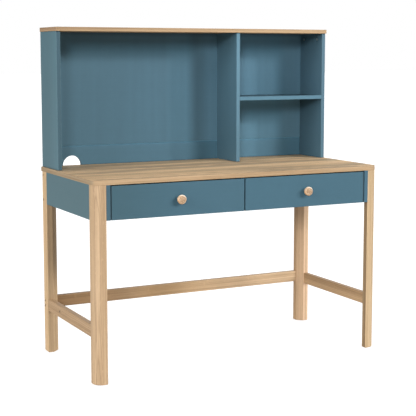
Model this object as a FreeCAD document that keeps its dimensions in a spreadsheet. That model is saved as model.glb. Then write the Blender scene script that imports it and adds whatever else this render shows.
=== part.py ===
import FreeCAD, Part
import Sketcher
import os

# Student desk with hutch: an oak-look desktop on four solid legs with side and
# back stretchers, two drawers side by side on wooden runners, and a painted
# hutch with an open bay, two cubbies and a cable notch.
#
# Millimetres. +X is the right-hand side seen from the front, +Y goes to the
# back, +Z is up. The origin is the centre of the overall box at floor level.

V = FreeCAD.Vector
doc = FreeCAD.newDocument("student_desk")

# ---------------------------------------------------------------- dimensions

CELLS = [
    # desktop
    ("desk_width", 1226), ("desk_depth", 580), ("desk_height", 750), ("top_thick", 18),
    ("front_corner", 36), ("rear_corner", 4), ("top_ease", 1.6), ("board_ease", 0.8),
    # legs
    ("leg_size", 48), ("leg_chamfer", 24), ("leg_round", 34), ("leg_ease", 2),
    ("leg_foot_chamfer", 1.5), ("side_inset", 1), ("front_inset", 1), ("rear_overhang", 12),
    ("glide_height", 2), ("glide_radius", 11),
    # aprons and drawer case
    ("apron_bottom", 604), ("apron_thick", 18), ("side_apron_inset", 1), ("back_apron_inset", 2),
    ("panel_thick", 16),
    # stretchers
    ("stretcher_thick", 20), ("stretcher_tall", 47), ("side_stretcher_bottom", 173),
    ("back_stretcher_bottom", 180), ("side_stretcher_inset", 2), ("back_stretcher_inset", 1),
    # drawers
    ("front_thick", 16), ("front_top_gap", 4), ("front_side_gap", 3), ("front_mid_gap", 2),
    ("box_gap", 3.5), ("box_side_thick", 12), ("box_length", 450), ("box_bottom", 612),
    ("box_top", 704), ("bottom_thick", 4), ("bottom_level", 620), ("bottom_groove", 5),
    ("runner_tall", 14), ("runner_reach", 6), ("runner_level", 653), ("runner_start", 30),
    ("runner_length", 470), ("groove_deep", 7), ("groove_over", 0.3), ("groove_under", 0.8),
    ("drawer_travel", 330), ("stop_thick", 14), ("stop_wide", 20), ("stop_drop", 32),
    # knob
    ("knob_length", 25), ("knob_radius", 17.5), ("knob_neck", 9.5), ("knob_neck_length", 9),
    ("knob_flare", 13), ("knob_rim", 22.6), ("knob_dome", 70), ("knob_edge", 6.2),
    # hutch
    ("hutch_width", 1212), ("hutch_depth", 188), ("hutch_height", 550), ("hutch_side_over", 3),
    ("hutch_front_over", 7), ("divider_left", 174), ("shelf_top", 1021), ("back_recess", 13),
    ("back_thick", 5), ("back_groove", 5.5), ("seam_height", 79), ("rail_tall", 86),
    ("notch_radius", 39.5), ("notch_from_side", 105),
    ("seam_bevel_tall", 6), ("seam_bevel_deep", 4.4),
    # fixings
    ("play", 0.1), ("bolt_back", 11), ("bolt_sink", 10), ("bolt_head_radius", 5),
    ("bolt_head_long", 6), ("bolt_radius", 3), ("nut_radius", 5), ("nut_long", 14),
    ("nut_from_end", 25), ("bolt_high_apron", 718.5), ("bolt_low_apron", 619),
    ("bolt_high_rail", 209), ("bolt_low_rail", 188),
    ("cam_radius", 6), ("cam_deep", 12.6), ("cam_set", 24), ("pin_radius", 2.5), ("pin_long", 35),
    ("pin_head_radius", 3.4), ("dowel_radius", 4), ("dowel_long", 40),
    ("small_dowel_radius", 3), ("bracket_leg", 20), ("bracket_wide", 16), ("bracket_thick", 2),
]

sheet = doc.addObject("Spreadsheet::Sheet", "dims")
for row, (alias, value) in enumerate(CELLS, start=1):
    sheet.set("B%d" % row, str(value))
    sheet.setAlias("B%d" % row, alias)
doc.recompute()


def d(name):
    return "dims." + name


# Reference planes and lines, as expressions of the sheet.
Y0 = "(0 - (dims.desk_depth + dims.front_inset - dims.knob_length) / 2)"  # desktop's front edge
HALF = "(dims.desk_width / 2)"
UNDER = "(dims.desk_height - dims.top_thick)"                  # underside of the desktop
LEG_OUT = "(dims.desk_width / 2 - dims.side_inset)"             # outer side faces of the legs
LEG_IN = "(dims.desk_width / 2 - dims.side_inset - dims.leg_size)"
LEG_F0 = "(dims.front_inset)"                                   # front leg, front and rear faces
LEG_F1 = "(dims.front_inset + dims.leg_size)"
LEG_R1 = "(dims.desk_depth - dims.rear_overhang)"               # rear leg, rear and front faces
LEG_R0 = "(dims.desk_depth - dims.rear_overhang - dims.leg_size)"
CASE_IN = "(dims.desk_width / 2 - dims.side_inset - dims.leg_size - dims.panel_thick)"
APRON_R1 = "(dims.desk_depth - dims.rear_overhang - dims.back_apron_inset)"
APRON_R0 = "(dims.desk_depth - dims.rear_overhang - dims.back_apron_inset - dims.apron_thick)"
APRON_TALL = "(dims.desk_height - dims.top_thick - dims.apron_bottom)"
SA_OUT = "(dims.desk_width / 2 - dims.side_inset - dims.side_apron_inset)"
SA_IN = "(dims.desk_width / 2 - dims.side_inset - dims.side_apron_inset - dims.apron_thick)"
SS_OUT = "(dims.desk_width / 2 - dims.side_inset - dims.side_stretcher_inset)"
SS_IN = "(dims.desk_width / 2 - dims.side_inset - dims.side_stretcher_inset - dims.stretcher_thick)"
BS_R0 = "(dims.desk_depth - dims.rear_overhang - dims.back_stretcher_inset - dims.stretcher_thick)"
BOLT_Y = "(dims.desk_depth - dims.rear_overhang - dims.bolt_back)"
H_OUT = "(dims.hutch_width / 2)"
H_IN = "(dims.hutch_width / 2 - dims.panel_thick)"
H_F = "(dims.desk_depth - dims.hutch_depth)"                    # front edge of the hutch panels
BACK_F = "(dims.desk_depth - dims.back_recess)"                 # front face of the hutch's back
H_UNDER = "(dims.desk_height + dims.hutch_height - dims.panel_thick)"
FRONT_B = "(dims.front_inset + dims.front_thick)"               # rear face of the drawer fronts
BOX_OUT = "(dims.desk_width / 2 - dims.side_inset - dims.leg_size - dims.panel_thick - dims.box_gap)"
BOX_INN = "(dims.panel_thick / 2 + dims.box_gap)"               # drawer box, face beside the partition
BOX_END = "(dims.front_inset + dims.front_thick + dims.box_length)"
FRONT_X0 = "(dims.front_mid_gap)"
FRONT_X1 = "(dims.desk_width / 2 - dims.side_inset - dims.leg_size - dims.panel_thick - dims.front_side_gap)"
KNOB_X = "((dims.front_mid_gap + dims.desk_width / 2 - dims.side_inset - dims.leg_size - dims.panel_thick - dims.front_side_gap) / 2)"
KNOB_Z = "((dims.apron_bottom + dims.desk_height - dims.top_thick - dims.front_top_gap) / 2)"


def at_y(expr):
    """Y of a point measured back from the desktop's front edge."""
    return "%s + (%s)" % (Y0, expr)


def span_x(side, low, high):
    """Lowest X of a piece that lies between |X| = low and |X| = high on one side."""
    return "0 - (%s)" % high if side < 0 else "(%s) + 0" % low


def at_x(side, expr):
    return "0 - (%s)" % expr if side < 0 else "(%s) + 0" % expr


# ------------------------------------------------------------------- helpers

TURN = {
    "+Z": FreeCAD.Rotation(),
    "-Z": FreeCAD.Rotation(V(1, 0, 0), 180),
    "+X": FreeCAD.Rotation(V(0, 1, 0), 90),
    "-X": FreeCAD.Rotation(V(0, 1, 0), -90),
    "+Y": FreeCAD.Rotation(V(1, 0, 0), -90),
    "-Y": FreeCAD.Rotation(V(1, 0, 0), 90),
}

nodes = {}


def place(obj, x, y, z, axis="+Z"):
    obj.Placement = FreeCAD.Placement(V(0, 0, 0), TURN[axis])
    obj.setExpression("Placement.Base.x", x)
    obj.setExpression("Placement.Base.y", y)
    obj.setExpression("Placement.Base.z", z)


def plane(body, role):
    return [f for f in body.Origin.OriginFeatures if f.Role == role][0]


def outline(body, name, width, depth):
    """A rectangle from the body's origin, width along X and depth along Y."""
    sk = body.newObject("Sketcher::SketchObject", name)
    sk.AttachmentSupport = (plane(body, "XY_Plane"), [""])
    sk.MapMode = "FlatFace"
    p = [V(0, 0, 0), V(100, 0, 0), V(100, 60, 0), V(0, 60, 0)]
    g = [sk.addGeometry(Part.LineSegment(p[i], p[(i + 1) % 4]), False) for i in range(4)]
    for i in range(4):
        sk.addConstraint(Sketcher.Constraint("Coincident", g[i], 2, g[(i + 1) % 4], 1))
    sk.addConstraint(Sketcher.Constraint("Horizontal", g[0]))
    sk.addConstraint(Sketcher.Constraint("Horizontal", g[2]))
    sk.addConstraint(Sketcher.Constraint("Vertical", g[1]))
    sk.addConstraint(Sketcher.Constraint("Vertical", g[3]))
    sk.addConstraint(Sketcher.Constraint("Coincident", g[0], 1, -1, 1))
    c = sk.addConstraint(Sketcher.Constraint("DistanceX", g[0], 1, g[0], 2, 100.0))
    sk.renameConstraint(c, "width")
    c = sk.addConstraint(Sketcher.Constraint("DistanceY", g[1], 1, g[1], 2, 60.0))
    sk.renameConstraint(c, "depth")
    sk.setExpression("Constraints.width", width)
    sk.setExpression("Constraints.depth", depth)
    return sk


def blank(name, sx, sy, sz, x, y, z):
    """A padded board, low corner at x, y, z."""
    body = doc.addObject("PartDesign::Body", name)
    sk = outline(body, name + "_outline", sx, sy)
    pad = body.newObject("PartDesign::Pad", name + "_pad")
    pad.Profile = sk
    pad.setExpression("Length", sz)
    place(body, x, y, z)
    sk.Visibility = False
    doc.recompute()
    return body, pad


def dress(body, base, kind, name, edges, size):
    """A fillet or a chamfer on named edges, its size bound to the sheet."""
    f = body.newObject("PartDesign::" + kind, name)
    f.Base = (base, edges)
    if kind == "Fillet":
        f.setExpression("Radius", size)
    else:
        f.setExpression("Size", size)
    doc.recompute()
    return f


def board(name, sx, sy, sz, x, y, z, ease="dims.board_ease"):
    """A rectangular board with all its edges eased."""
    body, pad = blank(name, sx, sy, sz, x, y, z)
    if ease:
        names = ["Edge%d" % (i + 1) for i in range(len(pad.Shape.Edges))]
        dress(body, pad, "Fillet", name + "_ease", names, ease)
    return body


def local_shape(feature):
    s = feature.Shape.copy()
    s.Placement = FreeCAD.Placement()
    return s


def upright(feature, keep):
    """Names of the straight vertical edges whose (x, y) the test keeps."""
    shape = local_shape(feature)
    box = shape.BoundBox
    out = []
    for i, e in enumerate(shape.Edges):
        a, b = e.Vertexes[0].Point, e.Vertexes[-1].Point
        if abs(a.x - b.x) < 1e-6 and abs(a.y - b.y) < 1e-6 and abs(a.z - b.z) > 1:
            if keep(a.x - box.XMin, box.XMax - a.x, a.y - box.YMin, box.YMax - a.y):
                out.append("Edge%d" % (i + 1))
    return out


def rim(feature, top=True, bottom=True):
    """Names of the edges that lie in the top or the bottom face."""
    shape = local_shape(feature)
    box = shape.BoundBox
    out = []
    for i, e in enumerate(shape.Edges):
        zs = [v.Point.z for v in e.Vertexes]
        if top and all(abs(z - box.ZMax) < 1e-6 for z in zs):
            out.append("Edge%d" % (i + 1))
        if bottom and all(abs(z - box.ZMin) < 1e-6 for z in zs):
            out.append("Edge%d" % (i + 1))
    return out


def hoops(feature, low, high):
    """Names of the full-width round edges between two heights of a turned piece."""
    shape = feature.Shape
    wide = 2 * sheet.get("knob_radius")
    out = []
    for i, e in enumerate(shape.Edges):
        b = e.BoundBox
        if b.ZLength < 0.05 and low < b.ZMin < high and abs(max(b.XLength, b.YLength) - wide) < 0.3:
            out.append("Edge%d" % (i + 1))
    return out


def cylinder(name, radius, length, x, y, z, axis):
    o = doc.addObject("Part::Cylinder", name)
    o.setExpression("Radius", radius)
    o.setExpression("Height", length)
    place(o, x, y, z, axis)
    return o


def cone(name, low, high, length, x, y, z, axis):
    o = doc.addObject("Part::Cone", name)
    o.setExpression("Radius1", low)
    o.setExpression("Radius2", high)
    o.setExpression("Height", length)
    place(o, x, y, z, axis)
    return o


def box(name, sx, sy, sz, x, y, z):
    o = doc.addObject("Part::Box", name)
    o.setExpression("Length", sx)
    o.setExpression("Width", sy)
    o.setExpression("Height", sz)
    place(o, x, y, z)
    return o


def bevel(name, long, deep, tall, x, y, z):
    """Takes the front top edge off a board that runs along X. It starts 0.5 in
    front of the face and goes 1 above the top."""
    o = doc.addObject("Part::Wedge", name)
    for prop, value in (("Xmin", "0"), ("X2min", "0"), ("Xmax", long), ("X2max", long),
                        ("Ymin", "0 - 0.5"), ("Ymax", deep),
                        ("Zmin", "0 - 0.5 * %s / %s" % (tall, deep)), ("Z2min", tall),
                        ("Zmax", "%s + 1" % tall), ("Z2max", "%s + 1" % tall)):
        o.setExpression(prop, value)
    place(o, x, y, z)
    return o


def socket(name, across, deep, x, y, z, axis):
    o = doc.addObject("Part::Prism", name)
    o.Polygon = 6
    o.setExpression("Circumradius", across)
    o.setExpression("Height", deep)
    place(o, x, y, z, axis)
    return o


def fuse(name, shapes):
    o = doc.addObject("Part::MultiFuse", name)
    o.Shapes = shapes
    return o


def cut(label, base, tools):
    """Takes the tools out of the base. The result is the finished piece."""
    tool = tools[0] if len(tools) == 1 else fuse(label + "_tools", tools)
    o = doc.addObject("Part::Cut", label)
    o.Base = base
    o.Tool = tool
    o.Label = label
    nodes[label] = o
    return o


def group(label, items):
    """Identical separate solids that share one node."""
    o = doc.addObject("Part::Compound", label)
    o.Links = items
    o.Label = label
    nodes[label] = o
    return o


def screw(name, shank, length, head, head_long, x, y, z, axis):
    """A countersunk screw whose head lies flush with the face at x, y, z.
    Returns the screw and the hole that it needs."""
    top = cone(name + "_head", head, shank, head_long, x, y, z, axis)
    rod = cylinder(name + "_shank", shank, length, x, y, z, axis)
    whole = fuse(name + "_blank", [top, rod])
    drive = socket(name + "_drive", "1.5", "1.6", x, y, z, axis)
    o = doc.addObject("Part::Cut", name)
    o.Base, o.Tool = whole, drive
    hole = cylinder(name + "_hole", shank + " + dims.play", length + " + 0.5", x, y, z, axis)
    sink = cone(name + "_sink", head + " + dims.play", shank + " + dims.play",
                head_long + " + dims.play", x, y, z, axis)
    return o, fuse(name + "_clear", [hole, sink])


def pan_screw(name, shank, length, head, head_long, x, y, z, axis):
    """A screw with a flat round head; x, y, z is the outer face of the head."""
    top = cylinder(name + "_head", head, head_long, x, y, z, axis)
    rod = cylinder(name + "_shank", shank, head_long + " + " + length, x, y, z, axis)
    whole = fuse(name + "_blank", [top, rod])
    drive = socket(name + "_drive", "1.5", "1.3", x, y, z, axis)
    o = doc.addObject("Part::Cut", name)
    o.Base, o.Tool = whole, drive
    hole = cylinder(name + "_hole", shank + " + dims.play",
                    head_long + " + " + length + " + 0.5", x, y, z, axis)
    return o, hole


SIDES = (("left", -1), ("right", 1))
tools = {}          # node -> the holes and grooves to take out of it


def take(node, *shapes):
    tools.setdefault(node, []).extend(shapes)


# ---------------------------------------------------------------- fasteners
# They are placed first, because the boards take their holes from them.

# Hex-socket bolts through the rear legs into barrel nuts in the back apron
# and in the back stretcher. The heads are sunk below the legs' outer faces.
bolts, nuts = [], []
BOLT_BASE = "(%s - dims.bolt_sink + dims.bolt_head_long)" % LEG_OUT
NUT_X = "(%s - dims.nut_from_end)" % LEG_IN
for side, s in SIDES:
    along = "+X" if s < 0 else "-X"
    for i, (level, rail) in enumerate((("bolt_high_apron", "back_apron"), ("bolt_low_apron", "back_apron"),
                                       ("bolt_high_rail", "back_stretcher"), ("bolt_low_rail", "back_stretcher"))):
        n = "bolt_%s_%d" % (side, i + 1)
        x = at_x(s, BOLT_BASE)
        y = at_y(BOLT_Y)
        z = d(level)
        long = "(dims.leg_size - dims.bolt_sink + dims.bolt_head_long + dims.nut_from_end + 8)"
        head = cylinder(n + "_head", "dims.bolt_head_radius", "dims.bolt_head_long", x, y, z, along)
        rod = cylinder(n + "_shank", "dims.bolt_radius", long, x, y, z, along)
        drive = socket(n + "_drive", "2.9", "3.5", x, y, z, along)
        o = doc.addObject("Part::Cut", n)
        o.Base, o.Tool = fuse(n + "_blank", [head, rod]), drive
        bolts.append(o)
        bore = cylinder(n + "_bore", "dims.bolt_head_radius + 0.5", "dims.bolt_sink", at_x(s, LEG_OUT), y, z, along)
        hole = cylinder(n + "_hole", "dims.bolt_radius + 0.2",
                        "(dims.leg_size + dims.nut_from_end + 10)", at_x(s, LEG_OUT), y, z, along)
        clear = fuse(n + "_clear", [bore, hole])
        take("leg_rear_" + side, clear)
        take(rail, hole)
        # the nut goes in from the face that the drawers or the wall hide
        nx = at_x(s, NUT_X)
        if rail == "back_apron":
            face, along_nut = APRON_R0, "+Y"
            ny = at_y("%s + 2" % APRON_R0)
        else:
            face, along_nut = "(%s + dims.stretcher_thick)" % BS_R0, "-Y"
            ny = at_y("%s + dims.stretcher_thick - 2" % BS_R0)
        pocket = cylinder(n + "_pocket", "dims.nut_radius + dims.play", "dims.nut_long + 2.3", nx, at_y(face), z, along_nut)
        take(rail, pocket)
        slug = cylinder(n + "_slug", "dims.nut_radius", "dims.nut_long", nx, ny, z, along_nut)
        nut = doc.addObject("Part::Cut", "nut_%s_%d" % (side, i + 1))
        nut.Base, nut.Tool = slug, hole
        nuts.append(nut)
group("leg_bolts", bolts)
group("barrel_nuts", nuts)


def cut_plain(name, base, taken):
    o = doc.addObject("Part::Cut", name)
    o.Base = base
    o.Tool = taken[0] if len(taken) == 1 else fuse(name + "_tools", taken)
    return o


def slot_box(name, x, y, z, into_plus_x):
    """The screwdriver slot across a cam's outer face."""
    shift = " + 0" if into_plus_x else " - 1.4"
    return box(name, "1.4", "7", "1.4", x + shift, "%s - 3.5" % y, "%s - 0.7" % z)


# Cam fittings: a pin screwed into one piece, caught by a cam in the other.
def cam_set(n, cx, cy, cz, pin_axis, cam_x, cam_axis):
    """The pin runs from the cam's centre along pin_axis; the cam enters from
    cam_x along cam_axis."""
    rod = cylinder(n + "_rod", "dims.pin_radius", "dims.pin_long", cx, cy, cz, pin_axis)
    knob = cylinder(n + "_knob", "dims.pin_head_radius", "3", cx, cy, cz, pin_axis)
    pin = fuse(n + "_pin", [rod, knob])
    room = cylinder(n + "_room", "dims.pin_radius + dims.play", "dims.pin_long + 0.3", cx, cy, cz, pin_axis)
    slot = cylinder(n + "_slot", "dims.pin_head_radius + 0.2", "dims.cam_radius + 2", cx, cy, cz, pin_axis)
    disc = cylinder(n + "_disc", "dims.cam_radius", "dims.cam_deep - 0.3", cam_x, cy, cz, cam_axis)
    cross = slot_box(n + "_cross", cam_x, cy, cz, cam_axis == "+X")
    cam = cut_plain(n + "_cam", disc, [slot, cross])
    seat = cylinder(n + "_seat", "dims.cam_radius + dims.play", "dims.cam_deep", cam_x, cy, cz, cam_axis)
    return pin, cam, room, seat


# side aprons to the legs, two at each end
cams, pins = [], []
for side, s in SIDES:
    mid = "(%s + dims.apron_thick / 2)" % SA_IN
    for end, cy, ax in (("front", "%s + dims.cam_set" % LEG_F1, "-Y"), ("rear", "%s - dims.cam_set" % LEG_R0, "+Y")):
        for i, z in enumerate(("dims.apron_bottom + 32", "dims.apron_bottom + 96")):
            n = "apron_fit_%s_%s_%d" % (side, end, i + 1)
            pin, cam, room, seat = cam_set(n, at_x(s, mid), at_y(cy), z, ax, at_x(s, SA_IN),
                                           "-X" if s < 0 else "+X")
            pins.append(pin)
            cams.append(cam)
            take("side_apron_" + side, room, seat)
            take("leg_%s_%s" % (end, side), room)
group("apron_cams", cams)
group("apron_cam_pins", pins)

# hutch top to the two sides and the divider
cams, pins = [], []
DIV_MID = "(dims.divider_left + dims.panel_thick / 2)"
for n, cx, face, ax, node in (
        ("left", at_x(-1, "%s + dims.panel_thick / 2" % H_IN), at_x(-1, H_IN), "-X", "hutch_side_left"),
        ("mid", DIV_MID, "dims.divider_left + dims.panel_thick", "-X", "hutch_divider"),
        ("right", at_x(1, "%s + dims.panel_thick / 2" % H_IN), at_x(1, H_IN), "+X", "hutch_side_right")):
    for i, cy in enumerate(("%s + 41" % H_F, "%s - 29" % BACK_F)):
        m = "hutch_fit_%s_%d" % (n, i + 1)
        pin, cam, room, seat = cam_set(m, cx, at_y(cy), "%s - dims.cam_set" % H_UNDER, "+Z", face, ax)
        pins.append(pin)
        cams.append(cam)
        take(node, room, seat)
        take("hutch_top", room)
group("hutch_cams", cams)
group("hutch_cam_pins", pins)


# Dowels.
def dowel(n, radius, length, x, y, z, axis, *pieces):
    pin = cylinder(n, radius, length, x, y, z, axis)
    hole = cylinder(n + "_hole", radius + " + dims.play", length + " + 0", x, y, z, axis)
    for p in pieces:
        take(p, hole)
    return pin


rods = []
for side, s in SIDES:
    mid = at_x(s, "%s + dims.stretcher_thick / 2" % SS_IN)
    for end, y in (("front", "%s - dims.dowel_long / 2" % LEG_F1), ("rear", "%s - dims.dowel_long / 2" % LEG_R0)):
        for i, z in enumerate(("dims.side_stretcher_bottom + 12", "dims.side_stretcher_bottom + 35")):
            rods.append(dowel("stretcher_dowel_%s_%s_%d" % (side, end, i + 1), "dims.dowel_radius", "dims.dowel_long",
                              mid, at_y(y), z, "+Y", "side_stretcher_" + side, "leg_%s_%s" % (end, side)))
group("stretcher_dowels", rods)

rods = []
for n, x, node in (("left", at_x(-1, "%s + dims.panel_thick / 2" % H_IN), "hutch_side_left"),
                   ("mid", DIV_MID, "hutch_divider"),
                   ("right", at_x(1, "%s + dims.panel_thick / 2" % H_IN), "hutch_side_right")):
    for i, y in enumerate(("%s + 38" % H_F, "%s - 40" % BACK_F)):
        rods.append(dowel("hutch_dowel_%s_%d" % (n, i + 1), "dims.dowel_radius", "30", x, at_y(y),
                          "dims.desk_height - 12", "+Z", "desktop", node))
group("hutch_dowels", rods)

rods = []
for n, x, node in (("divider", "dims.divider_left + dims.panel_thick - 10", "hutch_divider"),
                   ("side", "%s - 12" % H_IN, "hutch_side_right")):
    for i, y in enumerate(("%s + 35" % H_F, "%s - 35" % BACK_F)):
        rods.append(dowel("shelf_dowel_%s_%d" % (n, i + 1), "dims.small_dowel_radius", "22", x, at_y(y),
                          "dims.shelf_top - dims.panel_thick / 2", "+X", "hutch_shelf", node))
group("shelf_dowels", rods)

rods = []
for side, s in SIDES:
    for i, z in enumerate(("dims.desk_height + 22", "dims.desk_height + 60")):
        x = "0 - (%s + 10)" % H_IN if s < 0 else "%s - 14" % H_IN
        rods.append(dowel("rail_dowel_%s_%d" % (side, i + 1), "dims.small_dowel_radius", "24", x,
                          at_y("%s + dims.back_recess / 2 + 0.6" % BACK_F), z, "+X",
                          "hutch_back_rail", "hutch_side_" + side))
group("back_rail_dowels", rods)

# Screws.
made = []
for side, s in SIDES:
    for i, z in enumerate(("dims.apron_bottom + 24", "dims.apron_bottom + 104")):
        o, clear = screw("case_screw_%s_%d" % (side, i + 1), "2", "34", "4", "2.4",
                         at_x(s, CASE_IN), at_y("%s + 12" % LEG_F0), z, "-X" if s < 0 else "+X")
        made.append(o)
        take("case_side_" + side, clear)
        take("leg_front_" + side, clear)
group("case_screws", made)

made = []
for n, x, node in (("left", at_x(-1, "%s + dims.panel_thick / 2" % CASE_IN), "case_side_left"),
                   ("mid", "0 * dims.desk_width", "case_partition"),
                   ("right", at_x(1, "%s + dims.panel_thick / 2" % CASE_IN), "case_side_right")):
    for i, z in enumerate(("dims.apron_bottom + 36", "dims.apron_bottom + 92")):
        o, clear = screw("apron_screw_%s_%d" % (n, i + 1), "2", "48", "4", "2.4",
                         x, at_y(APRON_R1), z, "-Y")
        made.append(o)
        take("back_apron", clear)
        take(node, clear)
group("apron_screws", made)

made = []
for i, x in enumerate((-560, -200, 200, 560)):
    o, clear = screw("hutch_screw_%d" % (i + 1), "2", "50", "3.9", "2.4", str(x),
                     at_y("%s + dims.back_recess / 2 + 0.6" % BACK_F), UNDER, "+Z")
    made.append(o)
    take("desktop", clear)
    take("hutch_back_rail", clear)
group("hutch_screws", made)

# Drawer runners: hardwood strips on the case sides and on the partition.
RUN_THICK = "(dims.box_gap + dims.runner_reach)"
strips, made = [], []
for side, s in SIDES:
    for where, face, board_node, outward in (
            ("outer", CASE_IN, "case_side_" + side, True), ("inner", "(dims.panel_thick / 2)", "case_partition", False)):
        n = "runner_%s_%s" % (side, where)
        if outward:
            x = span_x(s, "%s - %s" % (face, RUN_THICK), face)
            into = "-X" if s < 0 else "+X"
            face_x = at_x(s, "%s - %s" % (face, RUN_THICK))
        else:
            x = span_x(s, face, "%s + %s" % (face, RUN_THICK))
            into = "+X" if s < 0 else "-X"
            face_x = at_x(s, "%s + %s" % (face, RUN_THICK))
        strip = board(n + "_strip", RUN_THICK, "dims.runner_length", "dims.runner_tall",
                      x, at_y("dims.runner_start"), "dims.runner_level", "0.6")
        clears = []
        for i, y in enumerate((40, 235, 430)):
            o, clear = screw("%s_screw_%d" % (n, i + 1), "1.75", "16", "3.2", "2",
                             face_x, at_y("dims.runner_start + %d" % y), "dims.runner_level + dims.runner_tall / 2", into)
            made.append(o)
            clears.append(clear)
            take(board_node, clear)
        strips.append(cut_plain(n, strip, clears))
group("drawer_runners", strips)
group("runner_screws", made)

# Angle brackets that hold the desktop to the case sides, the partition and the back apron.
angles, made = [], []
BW, BL, BT = "dims.bracket_wide", "dims.bracket_leg", "dims.bracket_thick"


def bracket(n, px, py, face_axis, node):
    """px, py: the foot of the bracket on the board's face, below the desktop;
    face_axis: the direction in which the board's face looks."""
    if face_axis in ("+X", "-X"):
        sgn = " - %s" if face_axis == "-X" else " + 0 * %s"
        leaf = box(n + "_leaf", BT, BW, BL, px + sgn % BT, "%s - %s / 2" % (py, BW), "%s - %s" % (UNDER, BL))
        top = box(n + "_top", BL, BW, BT, px + sgn % BL, "%s - %s / 2" % (py, BW), "%s - %s" % (UNDER, BT))
        m = "-" if face_axis == "-X" else "+"
        tx, ty = "%s %s %s * 0.62" % (px, m, BL), py
        lx, ly = "%s %s (%s + 2)" % (px, m, BT), py
        into = "+X" if face_axis == "-X" else "-X"
    else:                                   # the face looks to -Y
        leaf = box(n + "_leaf", BW, BT, BL, "%s - %s / 2" % (px, BW), "%s - %s" % (py, BT), "%s - %s" % (UNDER, BL))
        top = box(n + "_top", BW, BL, BT, "%s - %s / 2" % (px, BW), "%s - %s" % (py, BL), "%s - %s" % (UNDER, BT))
        tx, ty = px, "%s - %s * 0.62" % (py, BL)
        lx, ly = px, "%s - (%s + 2)" % (py, BT)
        into = "+Y"
    up, up_hole = pan_screw(n + "_screw_up", "1.8", "12", "3.5", "2", tx, ty, "%s - %s - 2" % (UNDER, BT), "+Z")
    on, on_hole = pan_screw(n + "_screw_in", "1.8", "12", "3.5", "2", lx, ly, "%s - %s * 0.62" % (UNDER, BL), into)
    angles.append(cut_plain(n, fuse(n + "_blank", [leaf, top]), [up_hole, on_hole]))
    made.extend([up, on])
    take("desktop", up_hole)
    take(node, on_hole)


for side, s in SIDES:
    for i, y in enumerate((150, 400)):
        bracket("bracket_%s_%d" % (side, i + 1), at_x(s, "%s + dims.panel_thick" % CASE_IN), at_y(str(y)),
                "-X" if s < 0 else "+X", "case_side_" + side)
    bracket("bracket_back_" + side, at_x(s, "270"), at_y(APRON_R0), "-Y", "back_apron")
    bracket("bracket_mid_" + side, at_x(s, "dims.panel_thick / 2"), at_y("250" if s < 0 else "330"),
            "-X" if s < 0 else "+X", "case_partition")
group("desktop_brackets", angles)
group("bracket_screws", made)

# Drawer stops: nylon blocks under the desktop that catch the drawer backs.
blocks, made = [], []
STOP_Y1 = "(%s - dims.box_side_thick - dims.drawer_travel - 0.4)" % BOX_END
for side, s in SIDES:
    n = "stop_" + side
    blk = board(n + "_blank", "dims.stop_wide", "dims.stop_thick", "dims.stop_drop",
                at_x(s, KNOB_X) + " - dims.stop_wide / 2", at_y("%s - dims.stop_thick" % STOP_Y1),
                "%s - dims.stop_drop" % UNDER, "1.2")
    o, clear = screw(n + "_screw", "2", "44", "4", "2.4", at_x(s, KNOB_X), at_y("%s - dims.stop_thick / 2" % STOP_Y1),
                     "%s - dims.stop_drop" % UNDER, "+Z")
    made.append(o)
    blocks.append(cut_plain(n, blk, [clear]))
    take("desktop", clear)
group("drawer_stops", blocks)
group("stop_screws", made)

# Floor glides with a nail up into each leg.
glides = []
for side, s in SIDES:
    for end, y in (("front", "%s + dims.leg_size / 2" % LEG_F0), ("rear", "%s - dims.leg_size / 2" % LEG_R1)):
        n = "glide_%s_%s" % (end, side)
        # set towards the outer side, clear of the chamfered inner corner
        x = at_x(s, "%s + dims.leg_size * 0.55" % LEG_IN)
        pad = cylinder(n + "_pad", "dims.glide_radius", "dims.glide_height", x, at_y(y), "0 * dims.glide_height", "+Z")
        nail = cylinder(n + "_nail", "1.5", "dims.glide_height + 14", x, at_y(y), "0 * dims.glide_height", "+Z")
        glides.append(fuse(n, [pad, nail]))
        take("leg_%s_%s" % (end, side),
             cylinder(n + "_hole", "1.5 + dims.play", "dims.glide_height + 14.5", x, at_y(y), "0 * dims.glide_height", "+Z"))
group("foot_glides", glides)

# ------------------------------------------------------------------ desktop

body, pad = blank("desktop_board", d("desk_width"), d("desk_depth"), d("top_thick"),
                  "0 - %s" % HALF, Y0, UNDER)
f = dress(body, pad, "Fillet", "desktop_front_corners", upright(pad, lambda a, b, c, e: c < 1e-6), d("front_corner"))
f = dress(body, f, "Fillet", "desktop_rear_corners", upright(f, lambda a, b, c, e: e < 1e-6), d("rear_corner"))
f = dress(body, f, "Fillet", "desktop_rims", rim(f), d("top_ease"))
cut("desktop", body, tools["desktop"])

# --------------------------------------------------------------------- legs
# Square section with the corner towards the knee space cut off at 45 degrees;
# the front legs' outer front corner is rounded like the desktop's.
for side, s in SIDES:
    for end in ("front", "rear"):
        n = "leg_%s_%s" % (end, side)
        low_y = LEG_F0 if end == "front" else LEG_R0
        body, pad = blank(n + "_blank", d("leg_size"), d("leg_size"), "(%s - dims.glide_height)" % UNDER,
                          span_x(s, LEG_IN, LEG_OUT), at_y(low_y), d("glide_height"))

        def inner(a, b, c, e):
            return (b if s < 0 else a) < 1e-6 and (e if end == "front" else c) < 1e-6

        def outer_front(a, b, c, e):
            return (a if s < 0 else b) < 1e-6 and c < 1e-6

        f = dress(body, pad, "Chamfer", n + "_chamfer", upright(pad, inner), d("leg_chamfer"))
        if end == "front":
            f = dress(body, f, "Fillet", n + "_ease", upright(f, lambda *q: not outer_front(*q)), d("leg_ease"))
            f = dress(body, f, "Fillet", n + "_round", upright(f, outer_front), d("leg_round"))
        else:
            f = dress(body, f, "Fillet", n + "_ease", upright(f, lambda *q: True), d("leg_ease"))
        f = dress(body, f, "Chamfer", n + "_foot", rim(f, top=False), d("leg_foot_chamfer"))
        cut(n, body, tools[n])

# ------------------------------------------------ aprons, case, stretchers

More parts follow.
